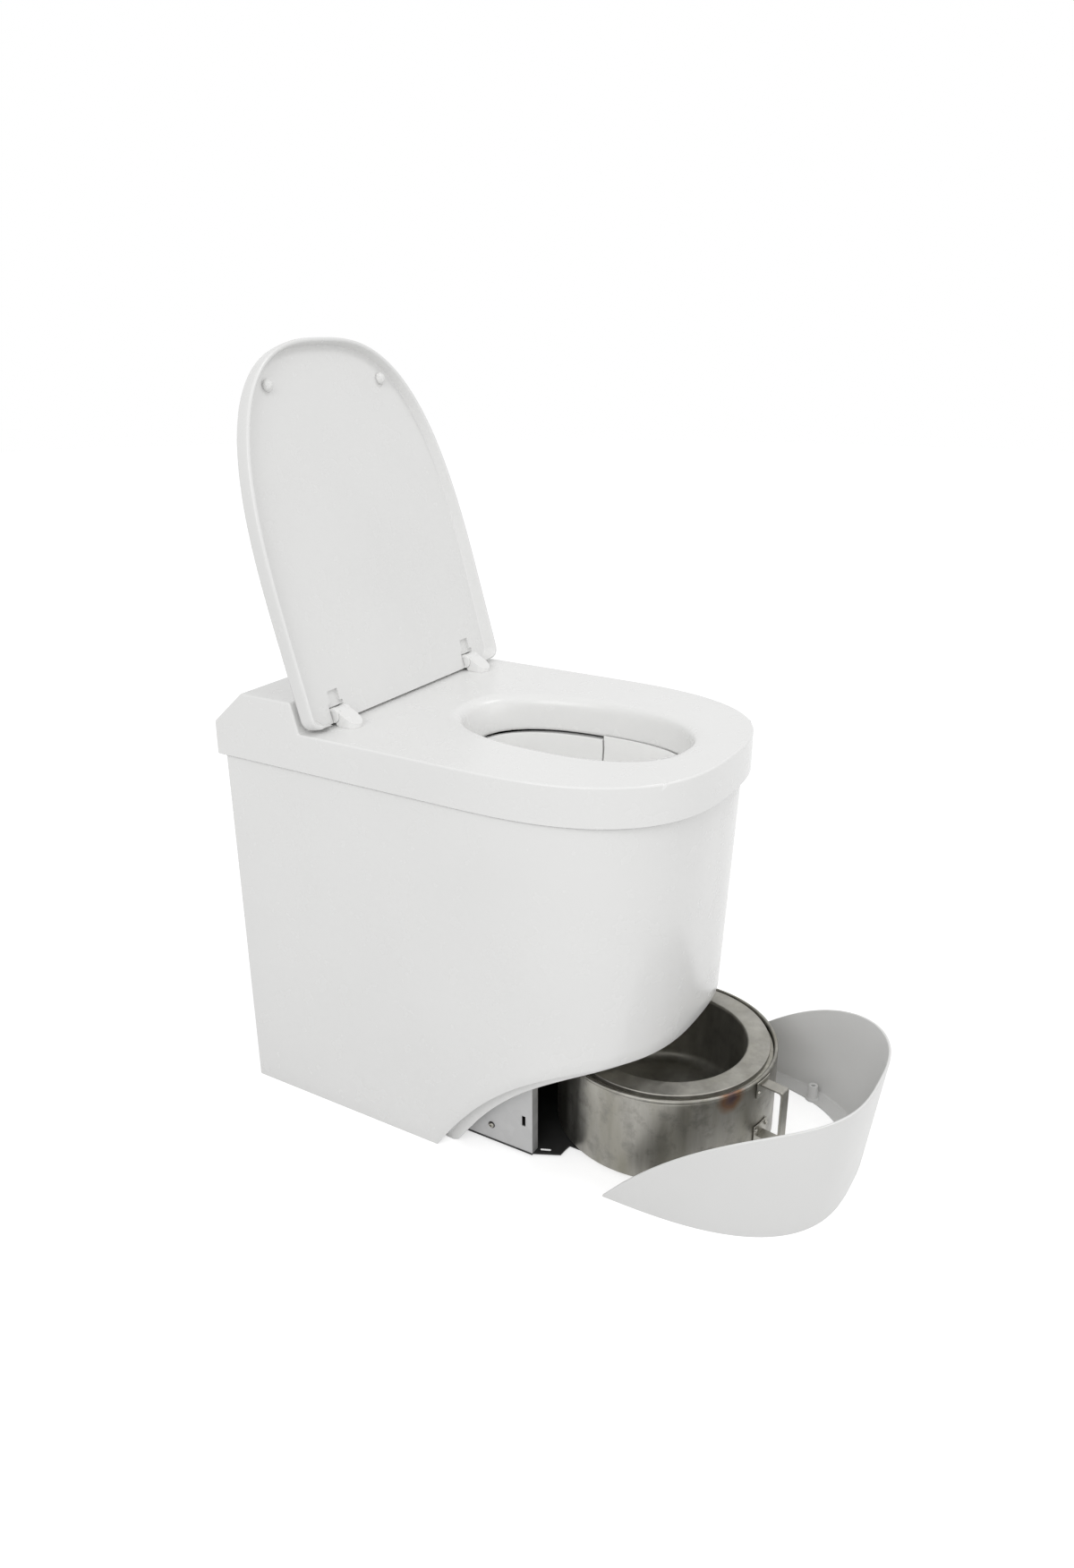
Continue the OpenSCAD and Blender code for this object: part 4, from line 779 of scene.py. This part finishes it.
class TOILET_OT_bowl(bpy.types.Operator):
    """Makes the two halves of the bowl, which swing apart to drop the liner"""

    bl_idname = "toilet.bowl"
    bl_label = "Bowl"

    def execute(self, context):
        self.half("bowl_front", "bowl_half_front", -0.240, 0.4577, -1)
        self.half("bowl_rear", "bowl_half_rear", 0.065, 0.4540, 1)
        return {"FINISHED"}

    def half(self, body, node, pivot, top, side):
        centre, split, deep, wall, half_w = -0.079, 0.0012, 0.119, 0.004, 0.096
        front_reach, rear_reach, square, columns = 0.1504, 0.1346, 2.2, 96
        turns = angles((86, 79, 70, 61, 52, 43, 34, 25, 16, 8))
        # The lip follows the foot of the dish: how far inside it, and how high, each row lies
        lip = ([(0.0002, -0.0002), (0.0006, 0.0010), (0.0012, 0.0018), (0.0020, 0.0020), (0.0028, 0.0012)]
               if side < 0 else [(0.0006, -0.0001), (0.0014, -0.0009)])
        rows = ([(t, 0.0) for t in turns] + [(0.0, 0.0)] + [(0.0, row) for row in lip]
                + [(t, wall) for t in turns[::-1]])

        def place(column, row):
            t, inset = rows[row]
            way = 2 * pi * column / columns
            c, s = cos(way), -sin(way)
            reach = rear_reach if s > 0 else front_reach
            share = cos(t)
            radius = share / ((abs(c) / half_w) ** square + (abs(s) / reach) ** square) ** (1 / square)
            if isinstance(inset, tuple):
                half, rear, front, power, _ = DISH_LEVELS[-2]
                step, lift = inset
                return oval_point(radius * c, radius * s + centre,
                                  (half - step, rear - step, front - step, power, top + lift))
            if inset:
                inset += 0.0045 * max(0.0, 1 - sin(t) / 0.65) ** 1.6
            radius = max(radius - inset * min(1.0, share * 2.5), 0.002)
            z = top - deep * sin(t) + (wall if inset else 0) * sin(t)
            return Vector((radius * c, radius * s + centre, z))

        bm = grid_surface(columns, len(rows), place)
        fill_ends(bm)
        bmesh.ops.bisect_plane(bm, geom=bm.verts[:] + bm.edges[:] + bm.faces[:], clear_outer=True,
                               plane_co=(0, centre + side * split, 0), plane_no=(0, -side, 0))
        fill_ends(bm)
        bmesh.ops.triangulate(bm, faces=[f for f in bm.faces if len(f.verts) > 4])
        foot = centre + (rear_reach if side > 0 else -front_reach)
        for x in (-0.030, 0.022):
            self.ear(bm, x, pivot, foot - side * wall, side)
        piece(body + "_half", bm, "glaze", body, "white_bowl", (node,))

    @staticmethod
    def ear(bm, x, pivot, foot, side):
        """An eye round the hinge pin and the arm that joins it to the bowl"""
        z, pin, eye, width = 0.451, 0.0034, 0.006, 0.008
        corners = [bm.verts.new((x + a, pivot + r, z)) for a, r in
                   ((0, pin), (width, pin), (width, eye), (0, eye))]
        edges = [bm.edges.new((corners[i], corners[i - 1])) for i in range(4)]
        bmesh.ops.spin(bm, geom=corners + edges, cent=(0, pivot, z), axis=(1, 0, 0), angle=2 * pi, steps=32,
                       use_merge=True)
        start = pivot - side * 0.0045
        slab([(x, start, z - 0.0045), (x, foot, z - eye), (x, foot, z - 0.001), (x, start, z + 0.003)],
             (width, 0, 0), bm)


# Ash container

DRUM_AT = (0.0, -0.222)
HANDLE_TURN = -9.4


class TOILET_OT_ash_container(bpy.types.Operator):
    """Makes the steel drum with its rolled lip, the flanged pot inside it and the strap handle"""

    bl_idname = "toilet.ash_container"
    bl_label = "Ash Container"

    def execute(self, context):
        s = sizes()
        self.drum(s.drum_radius)
        self.pot(s.pot_radius)
        self.handle(s.drum_radius)
        return {"FINISHED"}

    @staticmethod
    def drum(r):
        base, high, wall, foot, lip = 0.0052, 0.1192, 0.0016, 0.004, 0.0025
        profile = ([(0, base), (r * 0.6, base)] + arc((r - foot, base + foot), foot, -90, 0, 15)
                   + [(r, z) for z in (0.030, 0.055, 0.080, 0.100, 0.1125)] + [(r - 0.0008, 0.1145)]
                   + arc((r - lip, high - lip), lip, -40, 220, 20)
                   + [(r - wall, 0.1135), (r - wall, base + 0.006), (r - 0.006, base + wall), (0, base + wall)])
        piece("drum", spun(profile, DRUM_AT), "drum_steel", "container", "stainless", ("ash_drum",))

    @staticmethod
    def pot(r):
        top, deep, wall, rim, foot = 0.1207, 0.098, 0.0015, 0.1255, 0.012
        roll, edge, skirt = 0.0036, 0.0012, 0.006
        floor = top - deep
        profile = ([(0, floor - wall)] + arc((r - foot, floor + foot), foot + wall, -90, 0, 10)
                   + [(r + wall, top - 0.0045), (r + wall + 0.0012, top - 0.0022), (rim - wall, top - 0.002),
                      (rim - wall, top - skirt), (rim - 0.0003, top - skirt)]
                   + arc((rim - edge, top - edge), edge, 0, 90, 15)
                   + [(r + 0.016, top), (r + 0.0045, top - 0.0001)]
                   + arc((r + roll, top - roll), roll, 90, 180, 15)[1:] + [(r, z) for z in (0.1, 0.075, 0.05)]
                   + arc((r - foot, floor + foot), foot, 0, -90, -10) + [(0, floor)])
        piece("pot", spun(profile, DRUM_AT), "pot_steel", "container", "stainless", ("ash_pot",))

    @staticmethod
    def handle(r):
        gap, reach, high, thick, low, width = 0.0003, 0.030, 0.074, 0.003, 0.0392, 0.015
        pad_t, pad_half = 0.0016, 6
        front = -r - gap
        far, near = front - reach, front - 0.0012
        outline = [(near, 0), (far, 0), (far, high), (near, high), (near, high - thick),
                   (far + thick, high - thick), (far + thick, thick), (near, thick)]
        bm = slab([(-width / 2, y, low + z) for y, z in outline], (width, 0, 0))
        round_over(bm, [e for e in bm.edges if abs(e.verts[0].co.x - e.verts[1].co.x) > width / 2
                        and e.verts[0].co.y < front - reach / 2], 0.0034, 5)
        for foot, head in ((low - 0.008, low + 0.0165), (low + high - 0.0175, low + high + 0.004)):
            pad = [bm.verts.new((0, front - t, z)) for t, z in
                   ((0, foot), (pad_t, foot), (pad_t, head), (0, head))]
            ring = [bm.edges.new((pad[i], pad[i - 1])) for i in range(4)] + [bm.faces.new(pad)]
            bmesh.ops.rotate(bm, verts=pad, cent=(0, 0, 0),
                             matrix=Matrix.Rotation(radians(-pad_half), 3, "Z"))
            bmesh.ops.spin(bm, geom=ring + pad, cent=(0, 0, 0), axis=(0, 0, 1),
                           angle=radians(2 * pad_half), steps=12)
        move(bm, Matrix.Translation((*DRUM_AT, 0)) @ Matrix.Rotation(radians(HANDLE_TURN), 4, "Z"))
        piece("handle_strap", bm, "handle_steel", "container", "stainless", ("drum_handle",), bevel=0.0007)


# Hinges and buffers

class TOILET_OT_lid_fittings(bpy.types.Operator):
    """Makes the lid's two hinges and the round buffers on its inner face"""

    bl_idname = "toilet.lid_fittings"
    bl_label = "Lid Fittings"

    def execute(self, context):
        for name, side in SIDES:
            self.foot("hinge_foot_" + name, side * HINGE_X)
            self.lugs("hinge_lugs_" + name, side * HINGE_X)
            self.buffer("buffer_" + name, side * 0.103, -0.3755)
        return {"FINISHED"}

    @staticmethod
    def foot(name, x):
        """A solid shoe with a round front that rises to the hinge's middle knuckle"""
        half, knuckle, rise, nose, low = 0.0117, 0.0085, 0.012, -0.0305, 0.0043
        middle, clear, past, bottom = 0.0062, 0.0093, 0.02, 0.0001
        side = ([(nose - 0.002, bottom), (nose - 0.002, low - 0.0010)]
                + [(knuckle * cos(a), rise + knuckle * sin(a)) for a in
                   angles([118] + list(range(108, -91, -9)))]
                + [(-0.0040, 0.0022), (-0.0060, bottom)])
        shoe = slab([(-half, y, z) for y, z in side], (2 * half, 0, 0))
        plan = [(half * cos(a), nose + half - half * sin(a)) for a in angles(range(0, 181, 6))]
        outline = [(a, b, -0.01) for a, b in [(half, past)] + plan + [(-half, past)]]
        shoe = cut(shoe, slab(outline, (0, 0, 0.05)), "INTERSECT")
        # Room for the two discs beside the middle knuckle
        for end in (-1, 1):
            near, far = end * middle, end * past
            gap = turned([(0, near), (clear, near), (clear, far), (0, far)], 64)
            slide(gap, (0, 0, rise))
            back = block((min(near, far), -0.0040, -past), (max(near, far), past, 0.05), 0)
            shoe = cut(cut(shoe, gap), back)
        slide(shoe, (x, HINGE_AT[0], HINGE_AT[1] - rise))
        piece(name, shoe, "moulding", "body", "white_moulding", ("lid_hinge_feet",), smooth=30, bevel=0.0009)

    @staticmethod
    def lugs(name, x):
        """The two outer discs of the knuckle, each on a short web that stands on the lid"""
        disc = [(0, 0.0114), (0.0054, 0.0114), (0.0058, 0.0124), (0.0078, 0.0124), (0.0086, 0.0121),
                (0.0090, 0.0114), (0.0090, 0.0068), (0.0086, 0.0064), (0, 0.0064)]
        whole = None
        for side in (-1, 1):
            web = block((0.0066, -0.0070, 0.0010), (0.0112, 0.0070, 0.0110), 0.0005, 2)
            bm = cut(turned(disc), web, "UNION")
            if side < 0:
                mirror(bm)
            whole = bm if whole is None else cut(whole, bm, "UNION")
        move(whole, lid_place() @ Matrix.Translation((x, 0, 0)))
        piece(name, whole, "moulding", "lid", "white_moulding", ("lid_hinge_lugs",), smooth=30)

    @staticmethod
    def buffer(name, x, y):
        """A domed round buffer that stands on a narrower neck"""
        radius, crown, neck, root = 0.0072, 0.0052, 0.0056, 0.0030
        dome = [(radius * sin(a), -0.0008 - crown * cos(a)) for a in angles(range(0, 91, 10))]
        profile = dome + [(radius, -0.0002), (radius - 0.0004, 0.0002), (neck + 0.0002, 0.0003), (neck, root),
                          (0, root)]
        bm = spun(profile, (x, y), 48)
        move(bm, lid_place())
        piece(name, bm, "rubber", "lid", "white_rubber", ("lid_buffers",))


# Carried-over parts

# The finish of a node's slot, where it has another name
SLOT_FINISH = {"white_moulding": "moulding", "white_bowl": "glaze", "white_rubber": "rubber",
               "stainless": "handle_steel", "galvanised": "sheet", "black_plastic": "dark_plastic",
               "insulation": "fibre"}
# Nodes in the ash bay, whose sheet is darkened almost to black to paint the shade in the bay
SHADED_BAY = ("base_pan", "chassis_side_right", "container_runners")
# Distance at which a node's loose triangles are joined, and the rounding of the nodes that get it
WELD = 1e-5
SOFT_EDGES = {"floor_board": 0.0006, "start_button": 0.0006, "control_fascia": 0.0004, "power_inlet": 0.0006}


class TOILET_OT_working_parts(bpy.types.Operator):
    """Gives the chassis, the chamber, the exhaust and the controls their finishes"""

    bl_idname = "toilet.working_parts"
    bl_label = "Working Parts"

    def execute(self, context):
        for part in frame["record"]["subparts"]:
            node, kind = part["node"], part["material_slot"]
            obj = frame["nodes"][node]
            made = material("bay_shade_sheet" if node in SHADED_BAY else SLOT_FINISH.get(kind, kind))
            for slot in obj.material_slots:
                slot.material = made
            if node in SOFT_EDGES:
                obj.modifiers.new("weld", "WELD").merge_threshold = WELD
                bevel_modifier(obj, SOFT_EDGES[node], 35)
        return {"FINISHED"}


# Plate screws, pan tabs, and the dark strips, edgings and screw rings that paint shade

# Right half of the outline of the dark strip that paints the shade under the pan, which stays inside the foot
# ring of the cover when that is home
SHADE_STRIP = ((0.1535, 0.270), (0.1535, -0.0340), (0.1430, -0.0640), (0.1405, -0.0980), (0.1370, -0.1200),
         (0.1295, -0.1480), (0.1145, -0.1502), (0.1145, -0.1790), (0.0955, -0.1985), (0.0880, -0.1920),
         (0.1050, -0.1750), (0.1050, -0.1410), (0.1210, -0.1400), (0.1280, -0.1160), (0.1320, -0.0700),
         (0.1430, -0.0280), (0.1430, 0.270))


class TOILET_OT_chassis_trim(bpy.types.Operator):
    """Makes the screws of the chassis plates, the pan's turned-up tabs, and the dark strips and edgings that
    paint the shade under the pan and the plates
    """

    bl_idname = "toilet.chassis_trim"
    bl_label = "Chassis Trim"

    def execute(self, context):
        for name, side in SIDES:
            self.screw(name, side)
            self.tab(name, side)
        for name, side in SIDES:
            self.edging(name, side)
        return {"FINISHED"}

    @staticmethod
    def edging(name, side):
        """The dark strip under the pan and the dark edging of the plate's foot, which stands on the strip; both
        paint the shade in the gap over the floor
        """
        front, rear, low = -0.1202, 0.270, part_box("chassis_side_left")[0][2]
        ends = sorted((side * 0.1535, side * 0.1567))
        # Black strip and edging that paint the shade in the gap between the pan, the plates and the floor
        strip = slab([(side * x, y, 0.0003) for x, y in SHADE_STRIP], (0, 0, 0.0029))
        trim = block((ends[0], front, max(low - 0.0004, 0.0031)), (ends[1], rear, low + 0.0020), 0.0004, 2)
        piece("shade_strip_" + name, strip, "dark_plastic", "body", "black_plastic", bevel=0.0003)
        piece("plate_shade_edging_" + name, trim, "dark_plastic", "body", "black_plastic")

    @staticmethod
    def screw(name, side):
        """A screw with a socket in its head, on a dark ring that paints the shadow gap round the head"""
        plate, y, z, gap, shade_ring_t, radius = 0.156, -0.062, 0.025, 0.0001, 0.0005, 0.0036
        head = [(0, 0.0004), (0.0014, 0.0006), (0.0015, 0.0019), (0.0026, 0.0018), (0.0034, 0.0011),
                (radius, 0.0003), (radius, gap), (0, gap)]
        # The dark ring paints the shadow gap round the screw head
        shade_ring = [(0, gap), (0.0046, gap), (0.0046, 0.0004), (0.0043, 0.0006), (0, 0.0006)]
        for kind, profile, start, look, stands_for in (
                ("screw_", head, plate + shade_ring_t, ("handle_steel", "body", "stainless"), ("chassis_screws",)),
                ("screw_shade_ring_", shade_ring, plate, ("dark_plastic", "body", "black_plastic"), ())):
            bm = turned([(r, side * (start + x)) for r, x in profile], 32)
            slide(bm, (0, y, z))
            piece(kind + name, bm, *look, stands_for)

    @staticmethod
    def tab(name, side):
        """A corner of the pan that is turned up towards the drum"""
        bm = block((-0.0122, -0.0002, -0.0002), (0.0004, 0.0122, 0.0018), 0.0004, 2)
        turn = Matrix.Rotation(radians(24), 4, "Z") @ Matrix.Rotation(radians(38), 4, "Y")
        move(bm, Matrix.Translation((-0.1375, -0.136, 0.0034)) @ turn)
        if side > 0:
            mirror(bm)
        piece("pan_tab_" + name, bm, "sheet", "body", "galvanised")


# Studio

WHITE = (1, 1, 1, 1)
FLOOR_GLOW, SOFT_LIGHT = 0.62, 0.68
# Name, place, power in watts and diameter of each lamp, and the point at which they all aim
LAMPS = (("key", (-2.7, -0.3, 2.1), 29, 2.2), ("front", (-0.4, -2.6, 0.8), 10, 2.0),
         ("top", (0.9, -1.1, 3.0), 12, 0.9))
LAMP_AIM = (0, -0.05, 0.35)
CAMERA_AT, CAMERA_WAY, LENS = (-1.153771, -0.717820, 0.941455), (0.80085, 0.47453, -0.36534), 27.077


class TOILET_OT_studio(bpy.types.Operator):
    """Sets up the pale floor, the soft lights and the camera"""

    bl_idname = "toilet.studio"
    bl_label = "Studio"

    def execute(self, context):
        self.floor()
        self.world()
        for lamp in LAMPS:
            self.lamp(*lamp)
        self.camera()
        context.scene.view_settings.view_transform = "Standard"
        return {"FINISHED"}

    @staticmethod
    def floor():
        n = Nodes("studio_floor")
        n.shade(Base_Color=tuple(finish().floor), Roughness=0.9, Specular_IOR_Level=0.2)
        share = n.add("ShaderNodeMath", {0: n.seen(), 1: FLOOR_GLOW}, operation="MULTIPLY")
        glow = n.add("ShaderNodeEmission", {"Color": WHITE, "Strength": share.outputs[0]})
        both = n.add("ShaderNodeAddShader", {0: n.shader.outputs[0], 1: glow.outputs[0]})
        n.set(n.tree.nodes["Material Output"].inputs["Surface"], both.outputs[0])
        n.material.cycles.emission_sampling = "NONE"
        bm = bmesh.new()
        bmesh.ops.create_circle(bm, cap_ends=True, segments=64, radius=9)
        obj = solid("floor", bm)
        obj.data.materials.append(n.material)

    @staticmethod
    def world():
        world = bpy.data.worlds.new("studio")
        bpy.context.scene.world = world
        world.cycles.sampling_method = "NONE"
        n = Tree(world)
        n.tree.nodes.clear()
        soft, white = (n.add("ShaderNodeBackground", {"Color": WHITE, "Strength": strength})
                       for strength in (SOFT_LIGHT, 1))
        mix = n.add("ShaderNodeMixShader", {0: n.seen(), 1: soft.outputs[0], 2: white.outputs[0]})
        n.add("ShaderNodeOutputWorld", {0: mix.outputs[0]})

    @staticmethod
    def aimed(name, data, place, way):
        """A lamp or camera at a place, which looks along a direction"""
        obj = placed(name, data)
        obj.location = place
        obj.rotation_euler = Vector(way).to_track_quat("-Z", "Y").to_euler()
        return obj

    def lamp(self, name, place, power, size):
        light = bpy.data.lights.new(name, "AREA")
        light.shape = "DISK"
        light.size = size
        light.energy = power
        self.aimed(name, light, place, Vector(LAMP_AIM) - Vector(place))

    def camera(self):
        lens = bpy.data.cameras.new("camera")
        lens.lens = LENS
        lens.sensor_width = 36
        bpy.context.scene.camera = self.aimed("camera", lens, CAMERA_AT, CAMERA_WAY)


# Panel and registration

class TOILET_PT_sidebar(bpy.types.Panel):
    """Lists the pieces of the toilet"""

    bl_label = "Incinerating Toilet"
    bl_idname = "TOILET_PT_sidebar"
    bl_space_type = "VIEW_3D"
    bl_region_type = "UI"
    bl_category = "Toilet"

    def draw(self, context):
        for made in PIECES:
            self.layout.operator(made.bl_idname)


PIECES = (TOILET_OT_working_parts, TOILET_OT_seat_top, TOILET_OT_outer_shell, TOILET_OT_lid,
          TOILET_OT_lid_fittings, TOILET_OT_chassis_trim, TOILET_OT_bowl, TOILET_OT_ash_container,
          TOILET_OT_front_cover, TOILET_OT_studio)
CLASSES = (ToiletSizes, ToiletFinish) + PIECES + (TOILET_PT_sidebar,)


def register():
    for made in CLASSES:
        bpy.utils.register_class(made)
    bpy.types.Scene.toilet_sizes = PointerProperty(type=ToiletSizes)
    bpy.types.Scene.toilet_finish = PointerProperty(type=ToiletFinish)


def unregister():
    del bpy.types.Scene.toilet_sizes
    del bpy.types.Scene.toilet_finish
    for made in reversed(CLASSES):
        bpy.utils.unregister_class(made)


def main():
    register()
    for made in PIECES:
        group, name = made.bl_idname.split(".")
        getattr(getattr(bpy.ops, group), name)()


if __name__ == "__main__":
    main()
